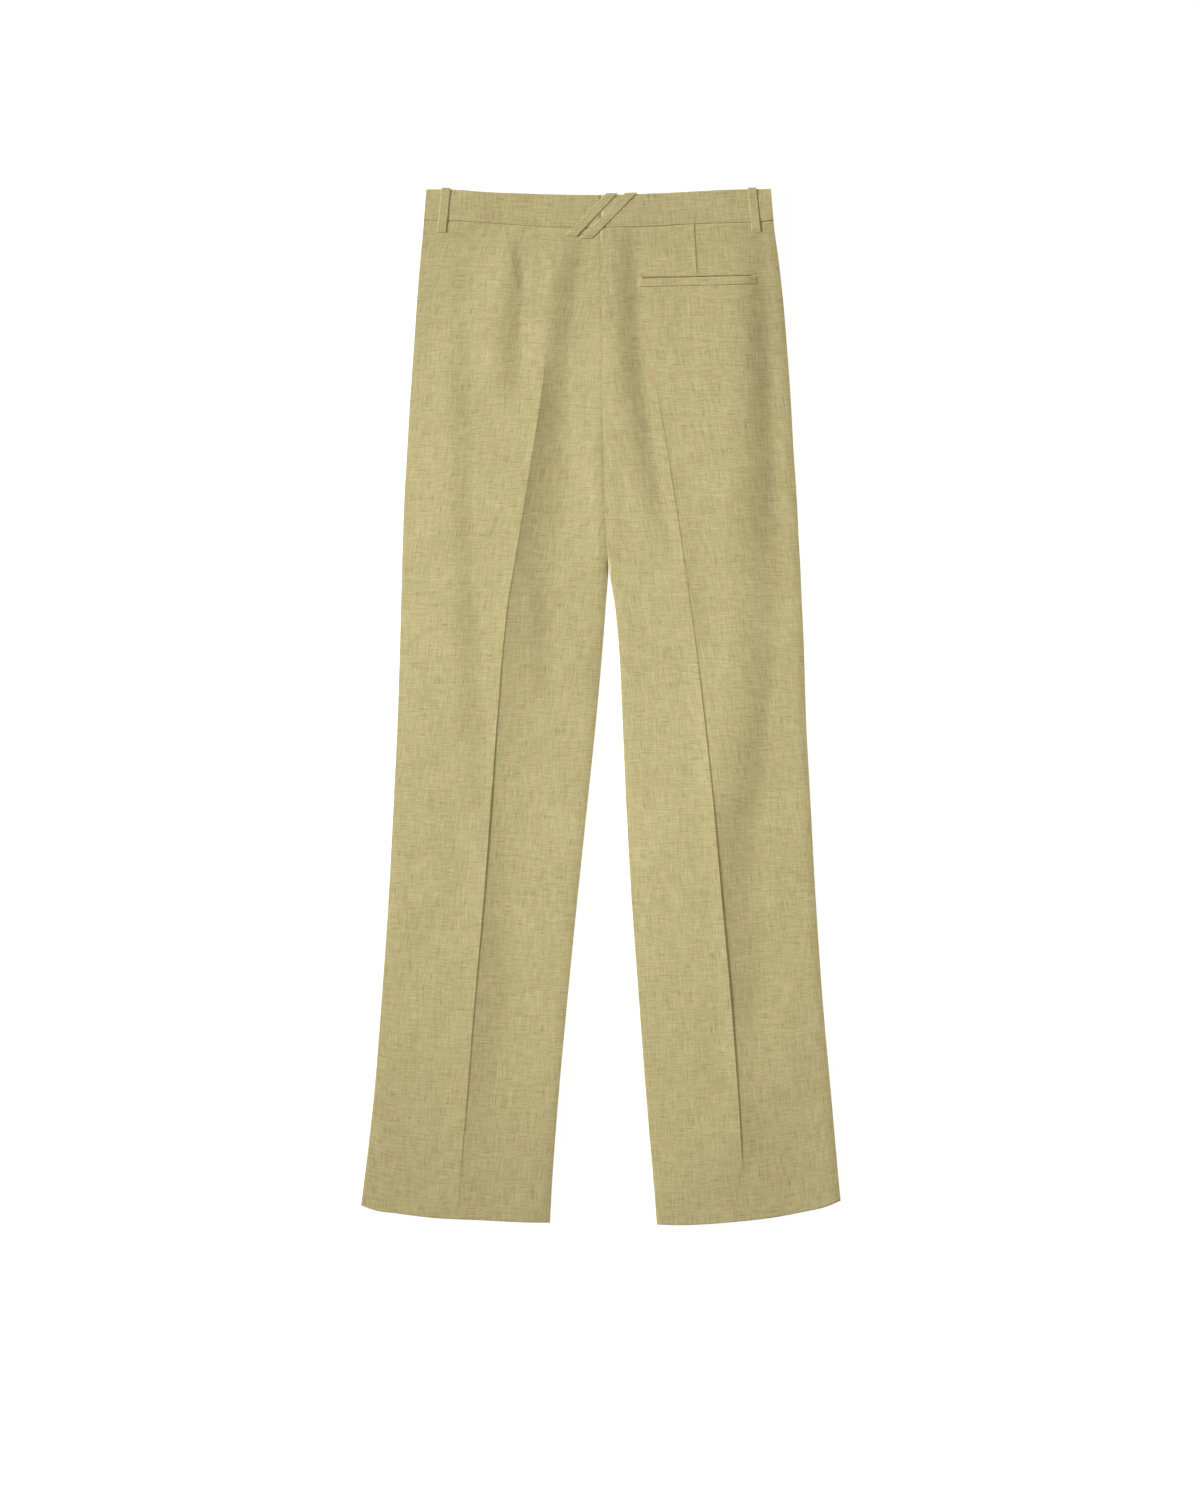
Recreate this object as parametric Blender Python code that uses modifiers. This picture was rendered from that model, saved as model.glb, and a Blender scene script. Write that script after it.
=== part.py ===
"""Tailored wool trousers, laid flat on their front with the back side up.

X runs across, from the wearer's left leg (negative) to the right leg. Y runs up the garment, from the
hems to the waist. Z is up, and the cloth rests on z = 0. Distances called "down" are measured down the
garment from the top of the highest belt loop. Every size is in metres.

Each leg is two walls of cloth: a front one that lies on the ground and a back one that lies on top of it
and rolls down around its edges. The waistband is four lengths made the same way. The belt loops and the
pocket welt lie on the back, two plain belt loops lie under the front, and the fly shield lies inside.
"""

import math
from typing import NamedTuple

import bpy
import numpy as np
from mathutils import Vector
from mathutils.bvhtree import BVHTree

# Driving sizes
GARMENT_LENGTH = 1.0883  # from the top of the highest belt loop to the lowest point of the hems
SEAM_GAP = 0.0003  # between two pieces that are sewn together
LEG_WALL = 0.0010
BAND_WALL = 0.0020
LOOP_WALL = 0.0013
WELT_WALL = 0.0010

# The front waist dips below the back one, most in the middle
FRONT_DIP = 0.0120
DIP_HALF_WIDTH = 0.1830

# Heights at the waist. The front belt loops lie under the front waistband and lift it off the ground.
WAIST_LIFT = LOOP_WALL + SEAM_GAP
LIFT_FULL_TO = 0.066
LIFT_NONE_FROM = 0.150
BAND_LAYER_GAP = 0.0009
BACK_BAND_HEIGHT = WAIST_LIFT + 2 * BAND_WALL + BAND_LAYER_GAP

# The rolled edges, where the back turns down around the border of the front
RIM_HEIGHT = 0.0003  # of the back's lower edge over the front's outer face
RIM_UPRIGHT = 0.0004
LEG_ROLL = 0.0024
BAND_ROLL = 0.0034
LEG_BORDER = LEG_WALL + 0.0004  # how far inside the outline the front ends
BAND_BORDER = BAND_WALL + 0.0009
SHOULDER_DROP = 0.0005  # how much the cloth sinks towards a rolled edge
SHOULDER_WIDTH = 0.012
ROLL_ANGLES = np.radians([0, 0, 30, 60, 90])
ROLL_UPRIGHTS = np.array([0.0, 1.0, 1.0, 1.0, 1.0])
FLAT_SPACING = np.array([0.0, 0.0015, 0.0030, 0.0050, 0.0080])  # of the same columns where nothing rolls

# The crotch, where the centre seam ends and the two inseams begin
CROTCH_CLOSED = 0.285
CROTCH_OPEN = 0.350
FRONT_CROTCH_CLOSED = 0.250
CROTCH_ROOM = 0.0012  # how much further in the front ends while the back begins to roll
CROTCH_ROOM_UNTIL = 0.420

# The front's low hollows, one on each side of its pressed crease
HOLLOW_HEIGHT = 0.0005
HOLLOW_WIDTH = 0.030
HOLLOW_SHARE = 0.6  # the most of the cloth from the crease to the inner edge that a hollow takes up
HOLLOWS_BEGIN = 0.20
HOLLOWS_FULL = 0.35

# Grids. A leg's rows are level lines, but bend to the waist seam at their top and to the hem at their foot
TOP_ROW = 0.0425
HEM_ROW = 1.0859
ROW_LEVELS = np.concatenate(
    [
        np.linspace(TOP_ROW, 0.100, 4, endpoint=False),
        np.linspace(0.100, 0.265, 6, endpoint=False),
        np.linspace(0.265, 0.430, 10, endpoint=False),
        np.linspace(0.430, HEM_ROW, 20),
    ]
)[:, None]
WAIST_BEND_UNTIL = 0.200
HEM_BEND_FROM = 0.650
OUTER_SHARES = np.array([0.07, 0.16, 0.28, 0.42, 0.56, 0.70, 0.86, 1.0])
INNER_SHARES = np.array([0.08, 0.16, 0.28, 0.42, 0.56, 0.70, 0.86])
BAND_SHARES = np.linspace(0.0, 1.0, 9)


class WaistPoint(NamedTuple):
    """How far down the waistband's top edge and its seam lie on the back, at a place across."""

    x: float
    top: float
    seam: float


WAIST = [
    WaistPoint(-0.186, 0.0019, 0.0344),
    WaistPoint(-0.157, 0.0021, 0.0350),
    WaistPoint(-0.119, 0.0048, 0.0372),
    WaistPoint(-0.080, 0.0063, 0.0402),
    WaistPoint(-0.030, 0.0076, 0.0426),
    WaistPoint(0.020, 0.0074, 0.0418),
    WaistPoint(0.057, 0.0061, 0.0409),
    WaistPoint(0.096, 0.0042, 0.0385),
    WaistPoint(0.133, 0.0023, 0.0373),
    WaistPoint(0.162, 0.0017, 0.0364),
    WaistPoint(0.182, 0.0014, 0.0345),
]


class Section(NamedTuple):
    """One level of a leg: how far out from the centre line its side seam, its crease and its inner edge
    lie, how high the crease stands on the back, and how wide that ridge's two sides are."""

    down: float
    outer: float
    crease: float
    inner: float
    ridge: float
    rise: float
    fall: float


LEFT_LEG = [
    Section(0.0018, 0.1833, 0.0200, 0.0005, 0.0000, 0.030, 0.014),
    Section(0.0176, 0.1851, 0.0220, 0.0005, 0.0000, 0.030, 0.014),
    Section(0.0386, 0.1861, 0.0280, 0.0005, 0.0002, 0.030, 0.014),
    Section(0.0754, 0.1895, 0.0380, 0.0003, 0.0008, 0.030, 0.015),
    Section(0.1174, 0.1930, 0.0465, -0.0004, 0.0015, 0.032, 0.016),
    Section(0.1645, 0.1962, 0.0560, -0.0012, 0.0021, 0.036, 0.017),
    Section(0.2224, 0.2003, 0.0635, -0.0021, 0.0026, 0.040, 0.019),
    Section(0.2749, 0.2034, 0.0716, -0.0030, 0.0029, 0.040, 0.024),
    Section(0.3379, 0.2069, 0.0817, -0.0043, 0.0028, 0.040, 0.030),
    Section(0.3694, 0.2080, 0.0867, -0.0059, 0.0026, 0.040, 0.034),
    Section(0.4009, 0.2088, 0.0920, -0.0078, 0.0024, 0.038, 0.038),
    Section(0.4324, 0.2097, 0.0973, -0.0055, 0.0023, 0.036, 0.040),
    Section(0.4744, 0.2108, 0.1020, -0.0024, 0.0022, 0.034, 0.036),
    Section(0.5584, 0.2135, 0.1090, 0.0051, 0.0022, 0.032, 0.020),
    Section(0.6424, 0.2175, 0.1152, 0.0138, 0.0023, 0.032, 0.013),
    Section(0.7474, 0.2231, 0.1231, 0.0248, 0.0020, 0.032, 0.010),
    Section(0.8524, 0.2303, 0.1325, 0.0352, 0.0017, 0.032, 0.010),
    Section(0.9574, 0.2388, 0.1409, 0.0448, 0.0013, 0.032, 0.010),
    Section(1.0624, 0.2511, 0.1496, 0.0523, 0.0006, 0.032, 0.010),
    Section(1.0890, 0.2545, 0.1512, 0.0536, 0.0004, 0.032, 0.010),
]

RIGHT_LEG = [
    Section(0.0018, 0.1783, 0.0400, -0.0005, 0.0000, 0.020, 0.008),
    Section(0.0176, 0.1800, 0.0403, -0.0005, 0.0000, 0.020, 0.008),
    Section(0.0386, 0.1814, 0.0407, -0.0005, 0.0000, 0.020, 0.008),
    Section(0.0754, 0.1863, 0.0430, -0.0003, 0.0000, 0.020, 0.008),
    Section(0.1174, 0.1911, 0.0465, 0.0004, 0.0000, 0.020, 0.008),
    Section(0.1645, 0.1951, 0.0520, 0.0012, 0.0002, 0.020, 0.008),
    Section(0.2224, 0.1992, 0.0602, 0.0021, 0.0006, 0.018, 0.008),
    Section(0.2749, 0.2021, 0.0691, 0.0030, 0.0009, 0.018, 0.009),
    Section(0.3379, 0.2062, 0.0790, 0.0045, 0.0012, 0.020, 0.010),
    Section(0.3694, 0.2076, 0.0837, 0.0065, 0.0013, 0.022, 0.010),
    Section(0.4009, 0.2094, 0.0882, 0.0092, 0.0014, 0.024, 0.010),
    Section(0.4324, 0.2107, 0.0926, 0.0137, 0.0015, 0.026, 0.010),
    Section(0.4744, 0.2127, 0.0985, 0.0181, 0.0017, 0.028, 0.011),
    Section(0.5584, 0.2153, 0.1085, 0.0224, 0.0021, 0.032, 0.014),
    Section(0.6424, 0.2198, 0.1174, 0.0261, 0.0026, 0.036, 0.024),
    Section(0.7474, 0.2255, 0.1268, 0.0320, 0.0029, 0.038, 0.020),
    Section(0.8524, 0.2327, 0.1363, 0.0397, 0.0029, 0.038, 0.016),
    Section(0.9574, 0.2421, 0.1442, 0.0476, 0.0024, 0.036, 0.012),
    Section(1.0624, 0.2515, 0.1505, 0.0566, 0.0003, 0.030, 0.010),
    Section(1.0890, 0.2542, 0.1523, 0.0586, 0.0000, 0.030, 0.010),
]


class HemPoint(NamedTuple):
    """How far down the hem lies, at a share of the way from the side seam to the inseam."""

    down: float
    across: float


LEFT_HEM = [
    HemPoint(1.0678, 0.000),
    HemPoint(1.0725, 0.066),
    HemPoint(1.0762, 0.194),
    HemPoint(1.0808, 0.385),
    HemPoint(1.0834, 0.640),
    HemPoint(1.0857, 0.895),
    HemPoint(1.0859, 1.000),
]

RIGHT_HEM = [
    HemPoint(1.0628, 0.000),
    HemPoint(1.0691, 0.081),
    HemPoint(1.0747, 0.211),
    HemPoint(1.0795, 0.342),
    HemPoint(1.0853, 0.602),
    HemPoint(1.0883, 0.863),
    HemPoint(1.0878, 1.000),
]


class Fold(NamedTuple):
    """A soft fold in the back: three points of its crest (across, down), its height, and the widths of
    its rise, on the wearer's left, and of its fall, on the right."""

    name: str
    top: tuple
    middle: tuple
    bottom: tuple
    height: float
    rise: float
    fall: float


BACK_FOLDS = [
    Fold("centre", (0.015, 0.020), (0.024, 0.180), (0.044, 0.360), 0.0022, 0.050, 0.020),
    Fold("right_hip", (0.143, 0.045), (0.147, 0.230), (0.148, 0.480), 0.0023, 0.070, 0.030),
    Fold("right_thigh", (0.170, 0.400), (0.155, 0.560), (0.138, 0.700), 0.0012, 0.045, 0.026),
    Fold("left_hip", (-0.156, 0.060), (-0.152, 0.320), (-0.142, 0.580), 0.0012, 0.045, 0.024),
    Fold("left_dart", (-0.101, 0.052), (-0.092, 0.095), (-0.088, 0.150), 0.0010, 0.020, 0.009),
    Fold("left_seat", (-0.108, 0.120), (-0.107, 0.190), (-0.108, 0.290), 0.0010, 0.026, 0.016),
]


class Loop(NamedTuple):
    """A belt loop: the middle of its sewn end (across, down), the middle of its end on the waist's top
    edge, its width along the waist, and the side that it lies on."""

    name: str
    sewn: tuple
    top_x: float
    width: float
    on_back: bool


BELT_LOOPS = [
    Loop("loop_back_left", (-0.1671, 0.0473), -0.1624, 0.0090, True),
    Loop("loop_back_right", (0.1630, 0.0470), 0.1584, 0.0090, True),
    Loop("loop_slanted_left", (-0.0322, 0.0520), 0.0102, 0.0120, True),
    Loop("loop_slanted_right", (-0.0154, 0.0537), 0.0303, 0.0126, True),
    Loop("loop_front_left", (-0.0830, 0.0600), -0.0820, 0.0090, False),
    Loop("loop_front_right", (0.0830, 0.0600), 0.0820, 0.0090, False),
]
LOOP_STATIONS = np.array([0.0, 0.10, 0.30, 0.50, 0.70, 0.90, 1.0])
LOOP_BELLY = 0.0007  # how far a loop's middle stands off the waistband
LOOP_TURN_ANGLES = np.radians([30, 60, 90])
LOOP_TAIL = 0.0010  # of the turned end, past the turn

# The pocket welt, on the wearer's right: the ends of its upper edge (across, down), and its height
WELT_LEFT = (0.0397, 0.0957)
WELT_RIGHT = (0.1632, 0.0929)
WELT_HEIGHT = 0.0085
WELT_STATIONS = 28

# The fly shield, inside the front: a strip that narrows in a curve at its foot
FLY_FROM_X = 0.0040
FLY_TO_X = -0.0400
FLY_TOP = 0.0560
FLY_FOOT = 0.1780
FLY_ROUND = 0.0400
FLY_ROWS = 14

CLOTH_COLOUR = (0.50, 0.44, 0.22, 1.0)
CLOTH_ROUGHNESS = 0.85


def mix(a, b, share):
    """a at share 0, b at share 1."""
    return a + (b - a) * share


def smoothstep(low, high, at):
    """0 up to low, 1 from high on, and an S between them."""
    t = np.clip((at - low) / (high - low), 0.0, 1.0)
    return t * t * (3.0 - 2.0 * t)


def curve_through(places, values):
    """A smooth curve through the values at the places, in cubic pieces, as a function of the place."""
    places, values = np.array(places), np.array(values)
    slopes = np.gradient(values, places)

    def curve(at):
        at = np.clip(at, places[0], places[-1])
        i = np.clip(np.searchsorted(places, at) - 1, 0, len(places) - 2)
        step = places[i + 1] - places[i]
        t = (at - places[i]) / step
        start = values[i] * (1 + 2 * t) + slopes[i] * step * t
        end = values[i + 1] * (3 - 2 * t) + slopes[i + 1] * step * (t - 1)
        return start * (1 - t) ** 2 + end * t * t

    return curve


def column(rows, field):
    """One column of a table of sections, as a smooth function of the distance down."""
    return curve_through([row.down for row in rows], [getattr(row, field) for row in rows])


# The air between the front and the back of the garment, by the distance down
LAYER_GAP = curve_through(
    [0.034, 0.075, 0.120, 0.180, 0.250, 0.420, 1.100],
    [0.0026, 0.0019, 0.0017, 0.00165, 0.0010, 0.0009, 0.0009],
)


class Leg:
    """One leg's outline and crease. side is -1 for the wearer's left and 1 for the right."""

    def __init__(self, side, sections, hem):
        self.side = side
        self.outer, self.crease, self.inner = (column(sections, f) for f in ("outer", "crease", "inner"))
        self.ridge, self.rise, self.fall = (column(sections, f) for f in ("ridge", "rise", "fall"))
        self.hem = curve_through([p.across for p in hem], [p.down for p in hem])

    def width(self, down):
        """The cloth's width at a level, less its half of the gap at the inner edge."""
        return self.outer(down) - self.inner(down) - SEAM_GAP / 2

    def x(self, from_outer, down):
        """Where a point lies that is that far in from the side seam."""
        return self.side * (self.outer(down) - from_outer)

    def from_crease(self, x, down):
        """How far a point lies to the right of the crease."""
        return x - self.side * self.crease(down)


LEFT = Leg(-1, LEFT_LEG, LEFT_HEM)
RIGHT = Leg(1, RIGHT_LEG, RIGHT_HEM)


def y_of(down):
    """The world's Y at a distance down the garment."""
    return GARMENT_LENGTH / 2 - down


BACK_TOP = curve_through([p.x for p in WAIST], [p.top for p in WAIST])
BACK_SEAM = curve_through([p.x for p in WAIST], [p.seam for p in WAIST])


def front_dip(x):
    """How far the front waist dips below the back one."""
    return FRONT_DIP * (1.0 - np.clip(np.abs(x) / DIP_HALF_WIDTH, 0.0, 1.0) ** 2)


def band_top(x, front=False):
    """How far down the waistband's top edge lies."""
    return BACK_TOP(x) + (front_dip(x) if front else 0.0)


def band_seam(x, front=False):
    """How far down the seam under the waistband lies."""
    return BACK_SEAM(x) + (front_dip(x) if front else 0.0)


def lift(down):
    """How far the front is held off the ground by the front belt loops."""
    return WAIST_LIFT * (1.0 - smoothstep(LIFT_FULL_TO, LIFT_NONE_FROM, down))


def share_of_side(across, rise, fall):
    """How far a point lies down a ridge's side: 0 on the crest, 1 and more at its foot."""
    return np.abs(across) / np.where(across < 0, rise, fall)


def soft_ridge(across, rise, fall):
    """A rounded ridge of height 1 with its crest at 0."""
    return 0.5 * (1.0 + np.cos(math.pi * np.clip(share_of_side(across, rise, fall), 0.0, 1.0)))


def pressed_ridge(across, rise, fall):
    """A ridge of height 1 with a sharp crest at 0 and hollow sides."""
    return (1.0 - np.clip(share_of_side(across, rise, fall), 0.0, 1.0)) ** 1.7


def fold_height(fold, x, down):
    """What a soft fold adds to the height. It fades in and out along its crest."""
    points = (fold.top, fold.middle, fold.bottom)
    crest = curve_through([p[1] for p in points], [p[0] for p in points])
    along = (down - fold.top[1]) / (fold.bottom[1] - fold.top[1])
    fade = smoothstep(-0.1, 0.3, along) * (1.0 - smoothstep(0.65, 1.0, along))
    return fold.height * fade * soft_ridge(x - crest(down), fold.rise, fold.fall)


def back_height(x, down):
    """The back's outer face away from its edges: the layers below it, the creases and the folds."""
    height = lift(down) + 2 * LEG_WALL + LAYER_GAP(down)
    for leg in (LEFT, RIGHT):
        across = leg.from_crease(x, down)
        height = height + leg.ridge(down) * pressed_ridge(across, leg.rise(down), leg.fall(down))
    for fold in BACK_FOLDS:
        height = height + fold_height(fold, x, down)
    return height


def front_height(x, down):
    """The front's outer face, which faces down: flat but for the lift and the hollows by its creases."""
    hollow = 0.0
    for leg in (LEFT, RIGHT):
        share = np.clip(np.abs(leg.from_crease(x, down)) / HOLLOW_WIDTH, 0.0, 1.0)
        hollow = hollow + 4.0 * share * (1.0 - share)
    return lift(down) + HOLLOW_HEIGHT * smoothstep(HOLLOWS_BEGIN, HOLLOWS_FULL, down) * hollow


def roll_insets(reach):
    """How far in from the edge the columns of a rolled edge lie, from the rim inwards."""
    return reach * (1.0 - np.cos(ROLL_ANGLES))


def rolled(top, rim, opened=1.0):
    """The heights of a rolled edge's columns: an upright stretch and a quarter turn up to the top.

    opened is 1 where the edge rolls and 0 where it lies flat.
    """
    foot = rim + RIM_UPRIGHT
    turned = foot + (top - foot) * np.sin(ROLL_ANGLES) - RIM_UPRIGHT * (1.0 - ROLL_UPRIGHTS)
    return mix(top, turned, opened)


def bent_rows(leg, across, front):
    """How far down the points of a panel's rows lie. across runs from 0 at the side seam to 1 inside."""
    at_waist = leg.x(across * leg.width(TOP_ROW), TOP_ROW)
    waist_bend = band_seam(at_waist, front) + SEAM_GAP - TOP_ROW
    hem_bend = leg.hem(across) - HEM_ROW
    waist_share = 1.0 - smoothstep(TOP_ROW, WAIST_BEND_UNTIL, ROW_LEVELS)
    hem_share = smoothstep(HEM_BEND_FROM, HEM_ROW, ROW_LEVELS)
    return ROW_LEVELS + waist_share * waist_bend + hem_share * hem_bend


def panel_points(leg, from_outer_at, columns, front):
    """The places of a panel's grid, as (from the side seam, x, down).

    from_outer_at gives the columns' distances from the side seam for an array of distances down. The
    two depend on each other, so they are worked out more than once.
    """
    down = np.repeat(ROW_LEVELS, columns, axis=1)
    for _ in range(3):
        from_outer = from_outer_at(down)
        down = bent_rows(leg, from_outer / leg.width(down), front)
    return from_outer, leg.x(from_outer, down), down


def back_panel_grid(leg):
    """The outer face of one leg's back, with its rolled edges, its crease and its folds."""
    opened = smoothstep(CROTCH_CLOSED, CROTCH_OPEN, ROW_LEVELS)
    outer_insets = roll_insets(LEG_ROLL)
    inner_insets = mix(FLAT_SPACING, outer_insets, opened)
    steps = len(ROLL_ANGLES)
    to_crease = slice(steps, steps + len(OUTER_SHARES))
    past_crease = slice(to_crease.stop, to_crease.stop + len(INNER_SHARES))
    columns = past_crease.stop + steps

    def from_outer_at(down):
        width = leg.width(down)
        crease = leg.outer(down) - leg.crease(down)
        last = width[:, past_crease] - inner_insets[:, -1:]
        parts = (
            outer_insets + np.zeros_like(width[:, :steps]),
            mix(LEG_ROLL, crease[:, to_crease], OUTER_SHARES),
            mix(crease[:, past_crease], last, INNER_SHARES),
            width[:, -steps:] - inner_insets[:, ::-1],
        )
        return np.concatenate(parts, axis=1)

    from_outer, x, down = panel_points(leg, from_outer_at, columns, False)
    z = back_height(x, down)
    for distance, amount in ((from_outer, 1.0), (leg.width(down) - from_outer, opened)):
        z = z - amount * SHOULDER_DROP * np.clip(1.0 - distance / SHOULDER_WIDTH, 0.0, 1.0) ** 2
    rim = lift(down) + RIM_HEIGHT
    z[:, :steps] = rolled(z[:, :steps], rim[:, :steps])
    z[:, -steps:] = rolled(z[:, : -steps - 1 : -1], rim[:, : -steps - 1 : -1], opened)[:, ::-1]
    return np.stack([x, y_of(down), z], axis=-1)


def front_panel_grid(leg):
    """The outer face of one leg's front, which stops just inside the back's rolled edges."""
    opened = smoothstep(FRONT_CROTCH_CLOSED, CROTCH_CLOSED, ROW_LEVELS)
    room = CROTCH_ROOM * opened * (1.0 - smoothstep(CROTCH_OPEN, CROTCH_ROOM_UNTIL, ROW_LEVELS))
    inner_border = LEG_BORDER * opened + room
    hollow_shares = np.array([-1.0, -0.5, 0.0, 0.5, 1.0])
    side_shares = np.array([0.0, 0.25, 0.5, 0.75])
    sides = len(side_shares)
    around_crease = slice(sides, sides + len(hollow_shares))
    columns = around_crease.stop + sides

    def from_outer_at(down):
        width = leg.width(down)
        crease = leg.outer(down) - leg.crease(down)
        hollow = np.minimum(HOLLOW_WIDTH, HOLLOW_SHARE * (width - crease))
        outer_foot = (crease - hollow)[:, :sides]
        inner_foot = (crease + hollow)[:, -sides:]
        parts = (
            mix(LEG_BORDER, outer_foot, side_shares),
            crease[:, around_crease] + hollow[:, around_crease] * hollow_shares,
            mix(width[:, -sides:] - inner_border, inner_foot, side_shares[::-1]),
        )
        return np.concatenate(parts, axis=1)

    _, x, down = panel_points(leg, from_outer_at, columns, True)
    return np.stack([x, y_of(down), front_height(x, down)], axis=-1)


def band_grid(leg, front):
    """The outer face of one side of the waistband, from its top edge to its seam."""
    insets = np.array([BAND_BORDER]) if front else roll_insets(BAND_ROLL)
    columns = len(insets) + len(BAND_SHARES) - 1
    down = np.repeat([[WAIST[0].top], [WAIST[0].seam]], columns, axis=1)
    for _ in range(3):
        width = leg.width(down[:, :1])
        parts = (insets + np.zeros_like(width), mix(insets[-1], width, BAND_SHARES[1:]))
        x = leg.x(np.concatenate(parts, axis=1), down)
        down = np.stack([band_top(x[0], front), band_seam(x[1], front)])
    share_down = np.array([0.0, 0.5, 1.0])[:, None]
    x = mix(x[:1], x[1:], share_down)
    down = mix(down[:1], down[1:], share_down)
    z = np.full(x.shape, WAIST_LIFT if front else BACK_BAND_HEIGHT)
    if not front:
        steps = len(ROLL_ANGLES)
        z[:, :steps] = rolled(z[:, :steps], WAIST_LIFT + RIM_HEIGHT)
    return np.stack([x, y_of(down), z], axis=-1)


def face_corners(rows, columns, flip):
    """The corner numbers of a grid's four-sided faces."""
    index = np.arange(rows * columns).reshape(rows, columns)
    corners = np.stack([index[:-1, :-1], index[1:, :-1], index[1:, 1:], index[:-1, 1:]], axis=-1)
    corners = corners.reshape(-1, 4)
    return corners[:, ::-1] if flip else corners


def surface_below(grids):
    """A function that gives the height of the cloth in some grids, at an x and a distance down."""
    points, faces = [], []
    for grid in grids:
        corners = face_corners(grid.shape[0], grid.shape[1], False) + len(points)
        faces.extend(corners.tolist())
        points.extend(grid.reshape(-1, 3).tolist())
    tree = BVHTree.FromPolygons(points, faces)
    straight_down = Vector((0.0, 0.0, -1.0))

    def height(x, down):
        hit = tree.ray_cast(Vector((x, y_of(down), 1.0)), straight_down)
        return hit[0].z

    return height


def welt_grid(cloth):
    """The outer face of the pocket welt, made from the cloth's points below it, moved out."""
    grid = []
    for row in np.linspace(0.0, 1.0, 3):
        points = []
        for share in np.linspace(0.0, 1.0, WELT_STATIONS):
            x = mix(WELT_LEFT[0], WELT_RIGHT[0], share)
            down = mix(WELT_LEFT[1], WELT_RIGHT[1], share) + WELT_HEIGHT * row
            points.append((x, y_of(down), cloth(x, down) + SEAM_GAP + WELT_WALL))
        grid.append(points)
    return np.array(grid)


def loop_path(loop, cloth):
    """The middle line of a belt loop's outer face, as (x, down, z), from its sewn end to its turned end."""
    proud = SEAM_GAP + LOOP_WALL
    face = BACK_BAND_HEIGHT if loop.on_back else WAIST_LIFT
    outward = 1.0 if loop.on_back else -1.0
    top = float(band_top(loop.top_x, not loop.on_back))
    path = []
    for share in LOOP_STATIONS:
        x = mix(loop.sewn[0], loop.top_x, share)
        down = mix(loop.sewn[1], top, share)
        below = cloth(x, down) if loop.on_back and down > band_seam(x) + SEAM_GAP else face
        belly = LOOP_BELLY * math.sin(math.pi * share) if loop.on_back else 0.0
        path.append((x, down, below + outward * (proud + belly)))
    slant = (loop.top_x - loop.sewn[0]) / (loop.sewn[1] - top)
    for angle in LOOP_TURN_ANGLES:
        past_edge = proud * math.sin(angle)
        z = face + outward * proud * math.cos(angle)
        path.append((loop.top_x + slant * past_edge, top - past_edge, z))
    x, down, z = path[-1]
    path.append((x, down, z - outward * LOOP_TAIL))
    return path


def loop_grid(loop, cloth):
    """The outer face of a belt loop, as a grid from its turned end down to its sewn end.

    Its rows slope as the waist's top edge does.
    """
    across = np.array([-0.5, 0.0, 0.5]) * loop.width
    front = not loop.on_back
    slope = band_top(loop.top_x + across, front) - band_top(loop.top_x, front)
    path = np.array(loop_path(loop, cloth))[::-1]
    x = path[:, :1] + across
    down = path[:, 1:2] + slope
    return np.stack([x, y_of(down), path[:, 2:] + np.zeros_like(x)], axis=-1)


def fly_shield_grid():
    """The upper face of the fly shield. It lies on the inside of the two fronts."""
    grid = []
    for down in np.linspace(FLY_TOP, FLY_FOOT, FLY_ROWS):
        into_round = max(0.0, (down - (FLY_FOOT - FLY_ROUND)) / FLY_ROUND)
        share = mix(0.2, 1.0, math.sqrt(max(0.0, 1.0 - into_round**2)))
        x = np.linspace(mix(FLY_FROM_X, FLY_TO_X, share), FLY_FROM_X, 4)
        z = lift(down) + 2 * LEG_WALL + SEAM_GAP
        grid.append([(a, y_of(down), z) for a in x])
    return np.array(grid)


def cloth_material(name):
    """A matt cloth finish for one piece."""
    material = bpy.data.materials.new(name)
    material.use_nodes = True
    shader = material.node_tree.nodes["Principled BSDF"]
    shader.inputs["Base Color"].default_value = CLOTH_COLOUR
    shader.inputs["Roughness"].default_value = CLOTH_ROUGHNESS
    shader.inputs["Metallic"].default_value = 0.0
    return material


def wall(name, grid, thickness, faces_up, collection):
    """A wall of cloth: an open surface through a grid of outer points, thickened inwards.

    The grid has a row for each level down the garment and a column for each place across it.
    """
    runs_right = grid[0, -1, 0] > grid[0, 0, 0]
    mesh = bpy.data.meshes.new(name)
    corners = face_corners(grid.shape[0], grid.shape[1], runs_right != faces_up)
    mesh.from_pydata(grid.reshape(-1, 3).tolist(), [], corners.tolist())
    mesh.update()
    mesh.shade_smooth()
    mesh.materials.append(cloth_material(name))
    made = bpy.data.objects.new(name, mesh)
    collection.objects.link(made)
    thicken = made.modifiers.new("thickness", "SOLIDIFY")
    thicken.thickness = thickness
    thicken.offset = -1.0


def main():
    for old in list(bpy.data.objects):
        bpy.data.objects.remove(old)
    collection = bpy.data.collections.new("tailored_trousers")
    bpy.context.scene.collection.children.link(collection)

    back_grids = []
    for side, leg in (("left", LEFT), ("right", RIGHT)):
        back_grids.append(back_panel_grid(leg))
        wall(f"back_leg_{side}", back_grids[-1], LEG_WALL, True, collection)
        wall(f"front_leg_{side}", front_panel_grid(leg), LEG_WALL, False, collection)
        wall(f"waistband_back_{side}", band_grid(leg, False), BAND_WALL, True, collection)
        wall(f"waistband_front_{side}", band_grid(leg, True), BAND_WALL, False, collection)

    cloth = surface_below(back_grids)
    wall("pocket_welt_right", welt_grid(cloth), WELT_WALL, True, collection)
    for loop in BELT_LOOPS:
        wall(loop.name, loop_grid(loop, cloth), LOOP_WALL, loop.on_back, collection)
    wall("fly_shield", fly_shield_grid(), LEG_WALL, True, collection)


main()
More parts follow.
